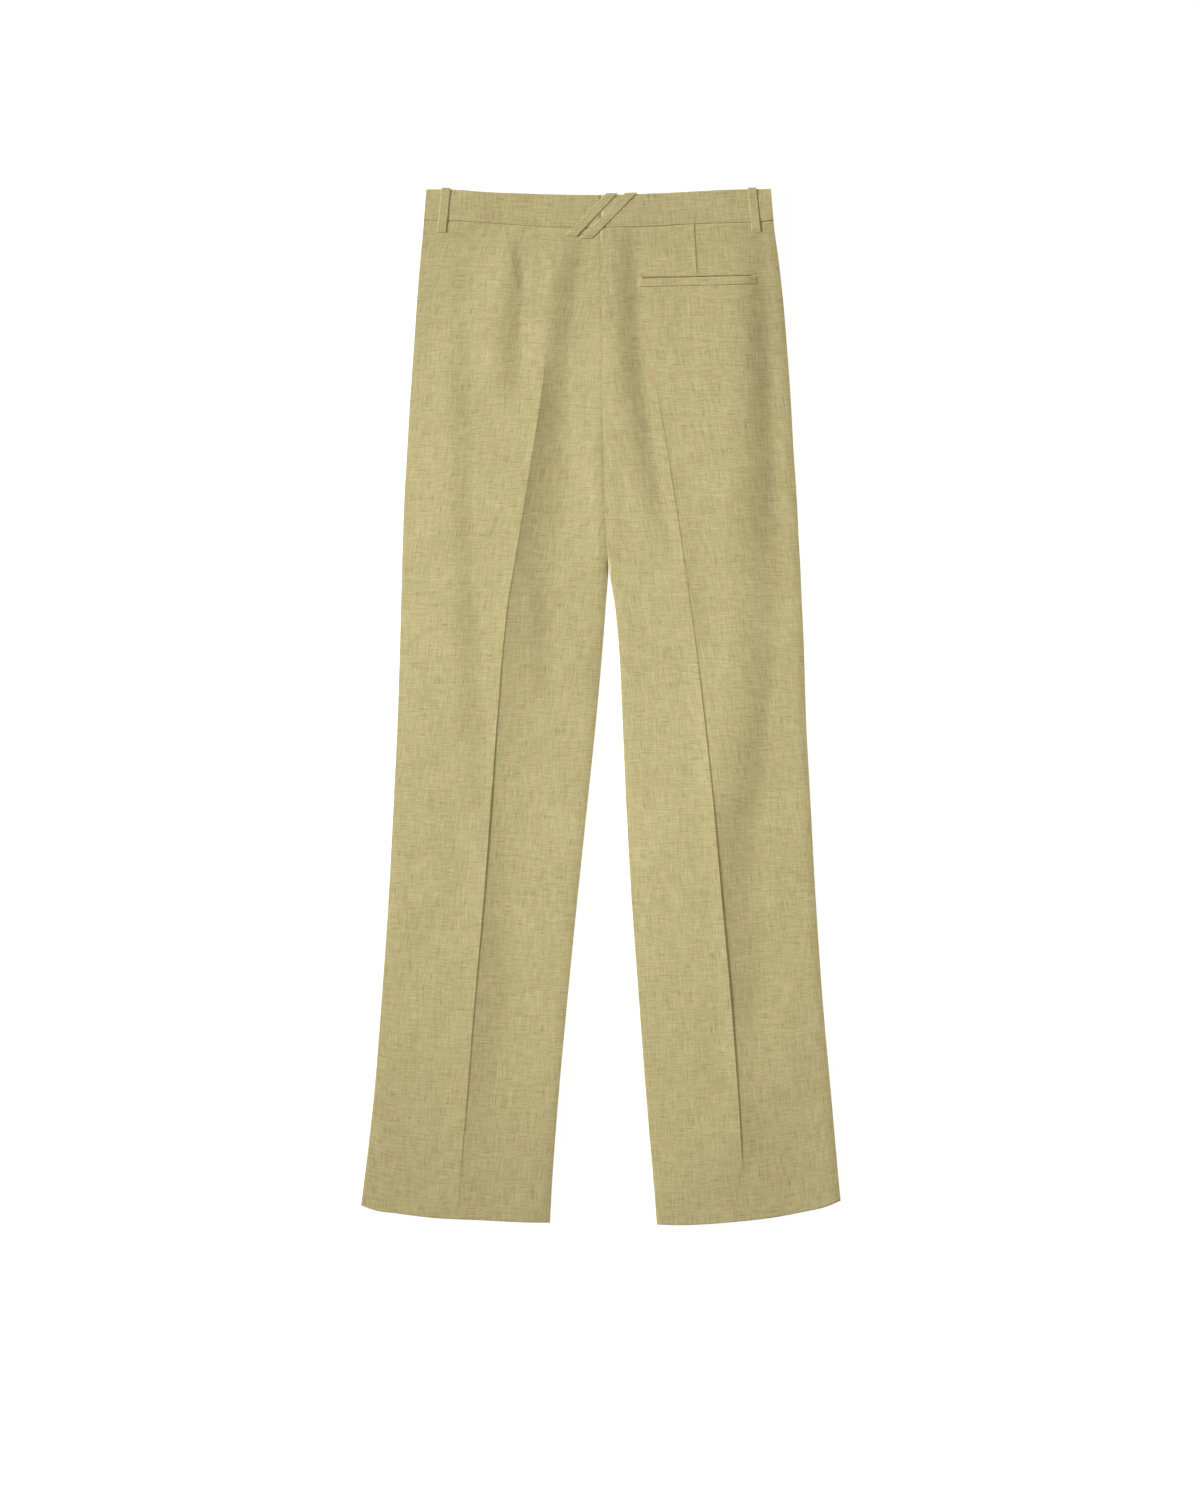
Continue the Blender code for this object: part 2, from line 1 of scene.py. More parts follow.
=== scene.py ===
"""The looks of a pair of tailored wool trousers, laid flat on their front with the back side up.

X runs across, from the wearer's left leg (negative) to the right leg. Y runs up the garment, from the hems
to the waist. Z is up, and the cloth rests on z = 0. Distances called "down" are measured down the garment
from the top of the highest belt loop. Every size is in metres, unless its name says otherwise.

Each piece is a thin closed shell on the form of the solid that it stands for: the same outline and layers,
with the folds, pressed creases, seams and rolled edges worked finer.
"""

from __future__ import annotations

import logging
import math
from collections.abc import Callable
from dataclasses import dataclass, field
from enum import Enum
from typing import NamedTuple

import bpy
import numpy as np
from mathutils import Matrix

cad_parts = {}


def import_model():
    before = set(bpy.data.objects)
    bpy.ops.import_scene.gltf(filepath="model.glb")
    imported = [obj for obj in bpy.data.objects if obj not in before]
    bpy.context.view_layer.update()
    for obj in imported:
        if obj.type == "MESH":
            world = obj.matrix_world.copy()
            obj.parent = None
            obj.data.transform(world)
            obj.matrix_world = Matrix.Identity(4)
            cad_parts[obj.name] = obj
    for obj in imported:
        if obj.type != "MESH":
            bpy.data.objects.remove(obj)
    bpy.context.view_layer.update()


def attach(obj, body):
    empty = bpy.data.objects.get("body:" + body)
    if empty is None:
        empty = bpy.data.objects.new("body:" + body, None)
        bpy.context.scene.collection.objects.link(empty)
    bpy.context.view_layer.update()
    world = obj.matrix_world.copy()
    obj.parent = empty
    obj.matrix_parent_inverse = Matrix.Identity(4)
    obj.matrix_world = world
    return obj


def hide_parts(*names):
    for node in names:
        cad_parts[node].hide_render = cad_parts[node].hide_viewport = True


Array = np.ndarray
Value = Array | float
Floats = tuple[float, ...]
Pair = tuple[float, float]
Colour = tuple[float, float, float, float]
LOG = logging.getLogger("trousers")
BODY = "root"
CLOTH_UV = "cloth_uv"

GARMENT_LENGTH = 1.0883
LEG_WALL = 0.0010
BAND_WALL = 0.0020
LOOP_WALL = 0.0013
SEAM_GAP = 0.0003
SEWN_GAP = 0.00008  # what shows between two cloths that are sewn edge to edge
MM_PER_M = 1000.0
RISE_POWER = 1.3  # how evenly cloth rises to a crest from its left
LIP_FALL_POWER = 1.5
ROUNDS = 3  # how often places across and down, which depend on each other, are worked out in turn
TINY = 1e-12  # keeps a length that is divided by from being 0


class Side(Enum):
    """The wearer's side, with its direction along X."""

    LEFT = -1
    RIGHT = 1


class Layer(Enum):
    """The layer that a piece of the garment belongs to."""

    BACK = "back"
    FRONT = "front"

    @property
    def outward(self) -> float:
        """Which way along Z the layer's outer face looks."""
        return 1.0 if self is Layer.BACK else -1.0


class Section(NamedTuple):
    """One level of a leg: how far out from the centre line its side seam, crease and inner edge lie."""

    down: float
    outer: float
    crease: float
    inner: float


class Press(NamedTuple):
    """How a pressed crease stands at one level, in millimetres: the ridge's height, how wide the cloth takes
    to fall away on its right, and the height of the sharp lip on its crest."""

    down: float
    ridge: float
    fall: float
    lip: float


class HemPoint(NamedTuple):
    """How far down the hem lies, at a share of the way from the side seam to the inseam."""

    down: float
    across: float


class WaistPoint(NamedTuple):
    """How far down the waistband's top edge and its seam lie on the back, at a place across."""

    x: float
    top: float
    seam: float


class Fold(NamedTuple):
    """A soft fold: three points of its crest (across, down), its height, its width on the left of the
    crest, its widths on the right at the three points, and how far out its steepest part lies."""

    top: Pair
    middle: Pair
    bottom: Pair
    height: float
    rise: float
    falls: tuple[float, float, float]
    skew: float


class LoopCut(NamedTuple):
    """A belt loop: the middle of its sewn end (across, down), the middle of its end on the waist's top edge,
    its width, and its layer."""

    name: str
    sewn: Pair
    top_x: float
    width: float
    layer: Layer


class Cut(NamedTuple):
    """What a panel of cloth was cut to: its greatest width and length and its area, flat, in metres, with
    what it lies on and the pieces that are sewn to it."""

    name: str
    width: float
    length: float
    area: float
    rests_on: tuple[str, ...]
    carries: tuple[str, ...] = ()


def rows_of(kind: type, *rows: tuple) -> tuple:
    """Returns a table's rows as named tuples of that kind."""
    return tuple(kind(*row) for row in rows)


LEFT_SECTIONS = rows_of(
    Section,
    (0.0018, 0.1833, 0.0200, 0.0005), (0.0176, 0.1851, 0.0220, 0.0005), (0.0386, 0.1861, 0.0280, 0.0005),
    (0.0754, 0.1895, 0.0380, 0.0003), (0.1174, 0.1930, 0.0465, -0.0004), (0.1645, 0.1962, 0.0560, -0.0012),
    (0.2224, 0.2003, 0.0635, -0.0021), (0.2749, 0.2034, 0.0716, -0.0030), (0.3379, 0.2069, 0.0817, -0.0043),
    (0.3694, 0.2080, 0.0867, -0.0059), (0.4009, 0.2088, 0.0920, -0.0078), (0.4324, 0.2097, 0.0973, -0.0055),
    (0.4744, 0.2108, 0.1020, -0.0024), (0.5584, 0.2135, 0.1090, 0.0051), (0.6424, 0.2175, 0.1152, 0.0138),
    (0.7474, 0.2231, 0.1231, 0.0248), (0.8524, 0.2303, 0.1325, 0.0352), (0.9574, 0.2388, 0.1409, 0.0448),
    (1.0624, 0.2511, 0.1496, 0.0523), (1.0890, 0.2545, 0.1512, 0.0536),
)

RIGHT_SECTIONS = rows_of(
    Section,
    (0.0018, 0.1783, 0.0400, -0.0005), (0.0176, 0.1800, 0.0403, -0.0005), (0.0386, 0.1814, 0.0407, -0.0005),
    (0.0754, 0.1863, 0.0430, -0.0003), (0.1174, 0.1911, 0.0465, 0.0004), (0.1645, 0.1951, 0.0520, 0.0012),
    (0.2224, 0.1992, 0.0602, 0.0021), (0.2749, 0.2021, 0.0691, 0.0030), (0.3379, 0.2062, 0.0790, 0.0043),
    (0.3694, 0.2076, 0.0837, 0.0059), (0.4009, 0.2094, 0.0882, 0.0084), (0.4324, 0.2107, 0.0926, 0.0137),
    (0.4744, 0.2127, 0.0985, 0.0181), (0.5584, 0.2153, 0.1085, 0.0224), (0.6424, 0.2198, 0.1174, 0.0261),
    (0.7474, 0.2255, 0.1268, 0.0320), (0.8524, 0.2327, 0.1363, 0.0397), (0.9574, 0.2421, 0.1442, 0.0476),
    (1.0624, 0.2515, 0.1505, 0.0566), (1.0890, 0.2542, 0.1523, 0.0586),
)

LEFT_PRESS = rows_of(
    Press,
    (0.030, 0.0, 28, 0.0), (0.170, 0.0, 28, 0.0), (0.200, 2.1, 29, 0.0), (0.228, 3.1, 31, 0.0),
    (0.280, 3.4, 39, 0.0), (0.333, 3.3, 47, 0.05), (0.385, 2.8, 42, 0.1), (0.438, 2.9, 52, 0.18),
    (0.485, 2.3, 58, 0.25), (0.537, 1.5, 50, 0.3), (0.590, 0.9, 22, 0.4), (0.642, 0.8, 20, 0.45),
    (0.695, 1.0, 24, 0.45), (0.747, 1.4, 32, 0.4), (0.800, 1.7, 37, 0.35), (0.852, 1.7, 40, 0.3),
    (0.905, 1.2, 34, 0.3), (0.957, 0.7, 24, 0.26), (1.010, 0.4, 18, 0.18), (1.060, 0.2, 16, 0.09),
    (1.090, 0.1, 16, 0.04),
)

RIGHT_PRESS = rows_of(
    Press,
    (0.030, 0.0, 20, 0.0), (0.190, 0.0, 20, 0.0), (0.230, 0.1, 14, 0.12), (0.333, 0.35, 16, 0.2),
    (0.438, 0.4, 20, 0.15), (0.485, 0.2, 20, 0.25), (0.540, 0.1, 30, 0.4), (0.590, 0.3, 48, 0.42),
    (0.642, 1.0, 50, 0.42), (0.695, 2.1, 48, 0.45), (0.747, 2.4, 45, 0.5), (0.800, 1.9, 40, 0.55),
    (0.852, 1.4, 31, 0.6), (0.905, 0.9, 24, 0.50), (0.957, 0.7, 24, 0.42), (1.010, 0.45, 24, 0.32),
    (1.035, 0.0, 16, 0.0), (1.090, 0.0, 16, 0.0),
)

LEFT_HEM = rows_of(
    HemPoint,
    (1.0678, 0.000), (1.0725, 0.066), (1.0762, 0.194), (1.0808, 0.385), (1.0834, 0.640),
    (1.0857, 0.895), (1.0859, 1.000),
)

RIGHT_HEM = rows_of(
    HemPoint,
    (1.0628, 0.000), (1.0691, 0.081), (1.0747, 0.211), (1.0795, 0.342), (1.0853, 0.602),
    (1.0883, 0.863), (1.0878, 1.000),
)

WAIST = rows_of(
    WaistPoint,
    (-0.186, 0.0019, 0.0344), (-0.157, 0.0021, 0.0350), (-0.119, 0.0048, 0.0372), (-0.080, 0.0063, 0.0402),
    (-0.030, 0.0076, 0.0426), (0.020, 0.0074, 0.0418), (0.057, 0.0061, 0.0409), (0.096, 0.0042, 0.0385),
    (0.133, 0.0023, 0.0373), (0.162, 0.0017, 0.0364), (0.182, 0.0014, 0.0345),
)

BACK_FOLDS = rows_of(
    Fold,
    # the centre, the crotch and the right side of the seat
    ((0.004, 0.030), (0.011, 0.200), (0.046, 0.400), 0.0022, 0.110, (0.034, 0.036, 0.036), 1.35),
    ((-0.013, 0.220), (-0.007, 0.330), (-0.002, 0.450), 0.0006, 0.070, (0.018, 0.015, 0.012), 1.2),
    ((0.006, 0.220), (0.008, 0.300), (0.012, 0.400), 0.0005, 0.050, (0.020, 0.020, 0.020), 1.0),
    # the right hip and thigh
    ((0.138, 0.040), (0.135, 0.230), (0.124, 0.480), 0.0030, 0.150, (0.036, 0.048, 0.070), 1.5),
    ((0.142, 0.410), (0.128, 0.540), (0.112, 0.740), 0.0022, 0.100, (0.050, 0.054, 0.050), 1.5),
    # the top of the left crease, the left dart, its tip and the left hip
    ((-0.044, 0.045), (-0.057, 0.120), (-0.069, 0.220), 0.0018, 0.080, (0.032, 0.032, 0.036), 1.2),
    ((-0.103, 0.055), (-0.110, 0.135), (-0.119, 0.240), 0.0016, 0.070, (0.020, 0.030, 0.032), 1.3),
    ((-0.099, 0.048), (-0.093, 0.085), (-0.088, 0.120), 0.0004, 0.030, (0.010, 0.011, 0.012), 1.2),
    ((-0.169, 0.040), (-0.165, 0.250), (-0.149, 0.740), 0.0010, 0.200, (0.034, 0.030, 0.040), 1.2),
    # the right hem, the left shin and the left knee
    ((0.120, 0.880), (0.120, 1.000), (0.120, 1.260), 0.0016, 0.180, (0.130, 0.130, 0.130), 1.0),
    ((0.004, 0.560), (-0.024, 0.840), (-0.046, 1.060), 0.0016, 0.075, (0.020, 0.020, 0.020), 1.0),
    ((-0.079, 0.400), (-0.076, 0.480), (-0.074, 0.560), 0.0004, 0.040, (0.020, 0.022, 0.022), 1.0),
)

BELT_LOOPS = (
    LoopCut("loop_back_left", (-0.1671, 0.0473), -0.1624, 0.0090, Layer.BACK),
    LoopCut("loop_back_right", (0.1630, 0.0470), 0.1584, 0.0090, Layer.BACK),
    LoopCut("loop_slanted_left", (-0.0322, 0.0520), 0.0102, 0.0120, Layer.BACK),
    LoopCut("loop_slanted_right", (-0.0154, 0.0537), 0.0303, 0.0126, Layer.BACK),
    LoopCut("loop_front_left", (-0.0830, 0.0600), -0.0820, 0.0090, Layer.FRONT),
    LoopCut("loop_front_right", (0.0830, 0.0600), 0.0820, 0.0090, Layer.FRONT),
)

LEFT_CREASE = {"ridge_reach": 0.150, "lip_rise": 0.030, "ridge_crown": 1.0}
RIGHT_CREASE = {"ridge_reach": 0.088, "lip_rise": 0.016, "ridge_crown": 1.9}
LEFT_BACK = {
    "dart": ((0.1019, 0.0397), (0.0861, 0.1016)),
    "dart_depth": 0.00007,
    "outer_drop": 0.0001,
    "centre_depth": 0.00015,
}
RIGHT_BACK = {"inner_drop": 0.0003}


def mix(a: Value, b: Value, share: Value) -> Value:
    """Returns a at share 0, b at share 1, and in between along a straight line."""
    return a + (b - a) * share


def smoothstep(low: float, high: float, at: Value) -> Value:
    """Returns 0 up to low, 1 from high on, and an S between them: 3t squared less 2t cubed."""
    t = np.clip((at - low) / (high - low), 0.0, 1.0)
    return t * t * (3.0 - 2.0 * t)


def window(at: Array, begins: Pair, ends: Pair) -> Array:
    """Returns 1 in the middle, with an S up from 0 where it begins and down to 0 where it ends."""
    return smoothstep(*begins, at) * (1.0 - smoothstep(*ends, at))


def y_of(down: Value) -> Value:
    """Returns the Y of a distance down the garment."""
    return GARMENT_LENGTH / 2 - down


def points_of(x: Array, down: Array, z: Array) -> Array:
    """Returns the points at some places across, down and up."""
    return np.stack([x, y_of(down), z], axis=-1)


def right_angle(count: int) -> Array:
    """Returns even angles from 0 to a right angle."""
    return np.linspace(0.0, math.pi / 2, count)


def spaced(near: Floats, margin: float, count: int, length: float) -> Array:
    """Works out places along a length, close together by both of its ends.

    Args:
        near: the places by an end.
        margin: how far from the ends the even places begin and stop.
        count: how many even places there are.
        length: the whole length.

    Returns:
        The places, from 0 to the length.
    """
    close = np.array(near)
    return np.concatenate([close, np.linspace(margin, length - margin, count), length - close[::-1]])


def groove(distance: Array, depth: float, width: float) -> Array:
    """Returns the sinking of a seam: a bell curve of that depth and half width."""
    return -depth * np.exp(-((distance / width) ** 2))


def rounding(distance: Array, radius: float, drop: float) -> Array:
    """Returns how far cloth drops within a radius of its edge: a quarter of an ellipse."""
    share = 1.0 - np.clip(distance / radius, 0.0, 1.0)
    return -drop * (1.0 - np.sqrt(1.0 - share**2))


def lip(across: Array, rise: float, fall: float) -> Array:
    """Returns a lip of height 1 at 0: on its left a slow rise, and on its right a short steep fall."""
    left = (1.0 - np.clip(-across / rise, 0.0, 1.0)) ** RISE_POWER
    right = (1.0 - np.clip(across / fall, 0.0, 1.0)) ** LIP_FALL_POWER
    return np.where(across < 0, left, right)


def face_normals(grid: Array) -> Array:
    """Works out the unit normals of a grid of points from the differences along its rows and columns."""
    along, across = np.gradient(grid, axis=0), np.gradient(grid, axis=1)
    normal = np.cross(across, along)
    return normal / np.maximum(np.linalg.norm(normal, axis=-1, keepdims=True), TINY)


def cloth_uv(grid: Array, zero_column: int, turned: bool, shift: float) -> Array:
    """Works out the cloth's own coordinates in metres.

    The first is the length along the row from a column; the second is the length down that column.

    Args:
        grid: the outer points.
        zero_column: the column where the first coordinate is 0.
        turned: True where the cloth is cut across, which swaps the two.
        shift: how far to slide the pattern, so that no two pieces show the same threads.

    Returns:
        A pair of coordinates for each point.
    """
    steps = np.linalg.norm(np.diff(grid, axis=1), axis=-1)
    u = np.concatenate([np.zeros((grid.shape[0], 1)), np.cumsum(steps, axis=1)], axis=1)
    u = u - u[:, zero_column : zero_column + 1]
    falls = np.linalg.norm(np.diff(grid[:, zero_column], axis=0), axis=-1)
    v = np.concatenate([[0.0], np.cumsum(falls)])[:, None] + np.zeros_like(u)
    return np.stack((v, u) if turned else (u, v), axis=-1) + shift


@dataclass(frozen=True)
class SmoothCurve:
    """A smooth curve through values at places, made of cubic pieces."""

    places: Floats
    values: Floats

    def __call__(self, at: Value) -> Value:
        """Reads the curve.

        Between two places it is the cubic that has their values and, as slopes, those of the straight lines
        between the neighbours on each side.

        Args:
            at: where to read it; past its ends the end values hold.

        Returns:
            The curve's value at each place asked for.
        """
        places, values = np.array(self.places), np.array(self.values)
        slopes = np.gradient(values, places)
        at = np.clip(at, places[0], places[-1])
        i = np.clip(np.searchsorted(places, at) - 1, 0, len(places) - 2)
        step = places[i + 1] - places[i]
        t = (at - places[i]) / step
        start = values[i] * (1 + 2 * t) + slopes[i] * step * t
        end = values[i + 1] * (3 - 2 * t) + slopes[i + 1] * step * (t - 1)
        return start * (1 - t) ** 2 + end * t * t


def curve_of(rows: tuple[NamedTuple, ...], name: str, over: str = "down") -> SmoothCurve:
    """Returns one column of a table as a smooth curve over another column."""
    return SmoothCurve(tuple(getattr(row, over) for row in rows), tuple(getattr(row, name) for row in rows))


def fill(tree: bpy.types.NodeTree, node: bpy.types.Node, inputs: dict) -> None:
    """Sets or links a node's sockets.

    Args:
        tree: the node tree that holds it.
        node: the node.
        inputs: for a socket's name or number, a value to set or an output socket to link.
    """
    for socket, value in inputs.items():
        if isinstance(value, bpy.types.NodeSocket):
            tree.links.new(value, node.inputs[socket])
        else:
            node.inputs[socket].default_value = value


def add_node(tree: bpy.types.NodeTree, kind: str, inputs: dict, **settings: object) -> bpy.types.Node:
    """Adds a node with its settings and links.

    Args:
        tree: the node tree that it goes into.
        kind: Blender's name for the node's type.
        inputs: its sockets' values and links, as fill() takes them.
        settings: the node's own properties.

    Returns:
        The new node.
    """
    node = tree.nodes.new(kind)
    for name, value in settings.items():
        setattr(node, name, value)
    fill(tree, node, inputs)
    return node


def new_material(name: str) -> tuple[bpy.types.Material, bpy.types.NodeTree, bpy.types.Node]:
    """Makes a material, and returns it with its node tree and its shader."""
    made = bpy.data.materials.new(name)
    made.use_nodes = True
    return made, made.node_tree, made.node_tree.nodes["Principled BSDF"]


def new_object(name: str, data: bpy.types.ID) -> bpy.types.Object:
    """Puts a mesh, light or camera into the scene, and returns its object."""
    made = bpy.data.objects.new(name, data)
    bpy.context.scene.collection.objects.link(made)
    return made


def linear(hex_colour: str) -> tuple[float, float, float, float]:
    """Turns an sRGB hex colour into the linear values that a shader takes.

    Args:
        hex_colour: such as "#b9ad7e".

    Returns:
        Red, green, blue and an alpha of 1.
    """
    srgb = np.array([int(hex_colour[i : i + 2], 16) for i in (1, 3, 5)]) / 255.0
    rgb = np.where(srgb <= 0.04045, srgb / 12.92, ((srgb + 0.055) / 1.055) ** 2.4)
    return (float(rgb[0]), float(rgb[1]), float(rgb[2]), 1.0)


@dataclass(frozen=True)
class MelangeWool:
    """Plain-woven melange worsted, pressed but not glazed: a dry, matt, faintly hairy cloth, whose uneven
    yarns of mixed straw, sand and olive show as a fine cross-hatch of short streaks."""

    name: str = "melange_worsted"
    pale: str = "#d3c898"
    dark: str = "#a29361"
    olive: str = "#a2a577"
    sand: str = "#cbab88"
    slub: str = "#8a7f54"
    yarn_mm: float = 1.0  # the real yarn is 0.35 mm; it is drawn as coarse as the render needs to show it
    warp_slub_mm: float = 26.0
    weft_slub_mm: float = 15.0
    tint_mm: float = 6.0
    cloud_mm: float = 60.0
    slub_mm: float = 13.0
    seeds: Floats = (3.1, 17.7, 29.3, 41.9, 53.5, 67.1, 83.9)
    noise_roughness: float = 0.55
    weights: Floats = (1.05, 0.95, 0.85, 0.25)  # of the warp, weft, grain and clouds in the shade
    shade_offset: float = -0.99  # brings their sum near the middle between dark and pale
    tint_contrast: float = 3.0
    tint_share: float = 0.22
    slub_from: float = 0.66
    slub_full: float = 0.80
    slub_share: float = 0.5
    relief_mm: float = 0.05
    relief_strength: float = 0.6
    roughness: float = 0.88
    ior: float = 1.5
    specular: float = 0.25
    sheen: float = 0.12
    sheen_roughness: float = 0.5

    def material(self) -> bpy.types.Material:
        """Builds the cloth's shader.

        The cloth's own UV is in metres, with its second axis along the warp. Long thin noise along each axis
        makes the slubs of warp and weft; even noise makes the weave's grain. Their weighted sum picks the
        yarn's shade and raises the surface.

        Returns:
            The material.
        """
        made, tree, shader = new_material(self.name)
        uv = add_node(tree, "ShaderNodeUVMap", {}, uv_map=CLOTH_UV).outputs[0]
        seeds = iter(self.seeds)

        def noise(across_mm: float, along_mm: float, detail: float) -> bpy.types.NodeSocket:
            """Returns noise whose blotches are that wide and long."""
            scale = (MM_PER_M / across_mm, MM_PER_M / along_mm, 1.0)
            mapping = {0: uv, 1: (0.0, 0.0, next(seeds)), 3: scale}
            place = add_node(tree, "ShaderNodeMapping", mapping).outputs[0]
            inputs = {"Vector": place, "Scale": 1.0, "Detail": detail, "Roughness": self.noise_roughness}
            return add_node(tree, "ShaderNodeTexNoise", inputs, noise_dimensions="3D").outputs[0]

        def math_node(operation: str, a: object, b: object, c: object = 0.0) -> bpy.types.NodeSocket:
            """Returns a sum, product or other step of arithmetic."""
            return add_node(tree, "ShaderNodeMath", {0: a, 1: b, 2: c}, operation=operation).outputs[0]

        def blend(share: object, a: object, b: object) -> bpy.types.NodeSocket:
            """Returns a colour between a and b."""
            return add_node(tree, "ShaderNodeMix", {0: share, 6: a, 7: b}, data_type="RGBA").outputs[2]

        warp = noise(self.yarn_mm, self.warp_slub_mm, 1.0)
        weft = noise(self.weft_slub_mm, self.yarn_mm, 1.0)
        grain = noise(self.yarn_mm, self.yarn_mm, 1.0)
        cloud = noise(self.cloud_mm, self.cloud_mm, 2.0)
        tint = noise(self.tint_mm, self.tint_mm * 2, 2.0)
        down_slubs = noise(self.yarn_mm, self.slub_mm, 0.0)
        cross_slubs = noise(self.slub_mm, self.yarn_mm, 0.0)

        shade = self.shade_offset
        for pattern, weight in zip((warp, weft, grain, cloud), self.weights):
            shade = math_node("MULTIPLY_ADD", pattern, weight, shade)
        yarn = blend(shade, linear(self.dark), linear(self.pale))
        tint_place = math_node("MULTIPLY_ADD", tint, self.tint_contrast, (1.0 - self.tint_contrast) / 2)
        mixed = blend(self.tint_share, yarn, blend(tint_place, linear(self.olive), linear(self.sand)))
        slubs = math_node("MAXIMUM", down_slubs, cross_slubs)
        span = {0: slubs, 1: self.slub_from, 2: self.slub_full, 3: 0.0, 4: self.slub_share}
        rare = add_node(tree, "ShaderNodeMapRange", span).outputs[0]
        relief = {"Height": shade, "Strength": self.relief_strength, "Distance": self.relief_mm / MM_PER_M}
        finish = {
            "Base Color": blend(rare, mixed, linear(self.slub)),
            "Normal": add_node(tree, "ShaderNodeBump", relief).outputs[0],
            "Roughness": self.roughness,
            "IOR": self.ior,
            "Specular IOR Level": self.specular,
            "Sheen Weight": self.sheen,
            "Sheen Roughness": self.sheen_roughness,
            "Sheen Tint": linear(self.pale),
        }
        fill(tree, shader, finish)
        return made


@dataclass(frozen=True)
class SewingThread:
    """Spun polyester sewing thread, dyed to the cloth: smoother and deeper in colour than the wool."""

    name: str = "spun_polyester_thread"
    colour: str = "#a09258"
    painted_ply_shade: float = 0.7  # painted shade: how much darker the colour is made between two plies, where the twist shades the thread
    band_scale: float = 4000.0 / 6.3  # the wave texture's
    wobble: float = 2.0
    roughness: float = 0.6
    ior: float = 1.5

    def material(self) -> bpy.types.Material:
        """Builds the thread's shader: an even colour with painted shade in fine slanting bands between its
        plies.

        Returns:
            The material.
        """
        made, tree, shader = new_material(self.name)
        place = add_node(tree, "ShaderNodeTexCoord", {}).outputs["Object"]
        wave = {"Vector": place, "Scale": self.band_scale, "Distortion": self.wobble}
        plies = add_node(tree, "ShaderNodeTexWave", wave, bands_direction="DIAGONAL").outputs[1]
        # painted shade between the plies: the bands' darker colour stands in for the shadow in the twist
        ply_shade_colour = tuple(self.painted_ply_shade * c for c in linear(self.colour)[:3]) + (1.0,)
        inputs = {0: plies, 6: ply_shade_colour, 7: linear(self.colour)}
        colour = add_node(tree, "ShaderNodeMix", inputs, data_type="RGBA").outputs[2]
        fill(tree, shader, {"Base Color": colour, "Roughness": self.roughness, "IOR": self.ior})
        return made


@dataclass
class Leg:
    """One leg's outline, hem and crease, as curves over the distance down."""

    side: Side
    sections: tuple[Section, ...]
    press: tuple[Press, ...]
    hem_points: tuple[HemPoint, ...]
    ridge_reach: float  # how far to the left the crease's ridge takes to rise
    lip_rise: float  # how far to the left the crest's sharp lip takes to rise
    ridge_crown: float  # 1 for an even rise, and more for one that rounds over towards the crest
    outer: SmoothCurve = field(init=False)
    crease: SmoothCurve = field(init=False)
    inner: SmoothCurve = field(init=False)
    hem: SmoothCurve = field(init=False)

    def __post_init__(self) -> None:
        """Turns the tables into curves."""
        names = ("outer", "crease", "inner")
        self.outer, self.crease, self.inner = (curve_of(self.sections, name) for name in names)
        self.hem = curve_of(self.hem_points, "down", over="across")

    def width(self, down: Value) -> Value:
        """Returns the cloth's width at a level, less its half of the gap at the inner edge."""
        return self.outer(down) - self.inner(down) - SEWN_GAP / 2

    def x(self, from_outer: Value, down: Value) -> Value:
        """Returns where a point lies that is that far in from the side seam."""
        return self.side.value * (self.outer(down) - from_outer)

    def from_crease(self, x: Array, down: Array) -> Array:
        """Returns how far a point lies to the right of the crease."""
        return x - self.side.value * self.crease(down)

    def pressed(self, measure: str, down: Array) -> Array:
        """Returns one of the crease's measures at some levels, in metres and never below 0."""
        return np.clip(curve_of(self.press, measure)(down), 0.0, None) / MM_PER_M


@dataclass
class Waist:
    """The waistband's two edges. The front waist dips below the back one, most in the middle."""

    points: tuple[WaistPoint, ...] = WAIST
    front_dip: float = 0.0120
    dip_half_width: float = 0.1830
    top_curve: SmoothCurve = field(init=False)
    seam_curve: SmoothCurve = field(init=False)

    def __post_init__(self) -> None:
        """Turns the table into curves."""
        self.top_curve, self.seam_curve = (curve_of(self.points, n, over="x") for n in ("top", "seam"))

    def dip(self, x: Value, layer: Layer) -> Value:
        """Returns how far a layer's waist lies below the back one: a parabola across, on the front only."""
        if layer is Layer.BACK:
            return 0.0
        return self.front_dip * (1.0 - np.clip(np.abs(x) / self.dip_half_width, 0.0, 1.0) ** 2)

    def top(self, x: Value, layer: Layer = Layer.BACK) -> Value:
        """Returns how far down the waistband's top edge lies."""
        return self.top_curve(x) + self.dip(x, layer)

    def seam(self, x: Value, layer: Layer = Layer.BACK) -> Value:
        """Returns how far down the seam under the waistband lies."""
        return self.seam_curve(x) + self.dip(x, layer)


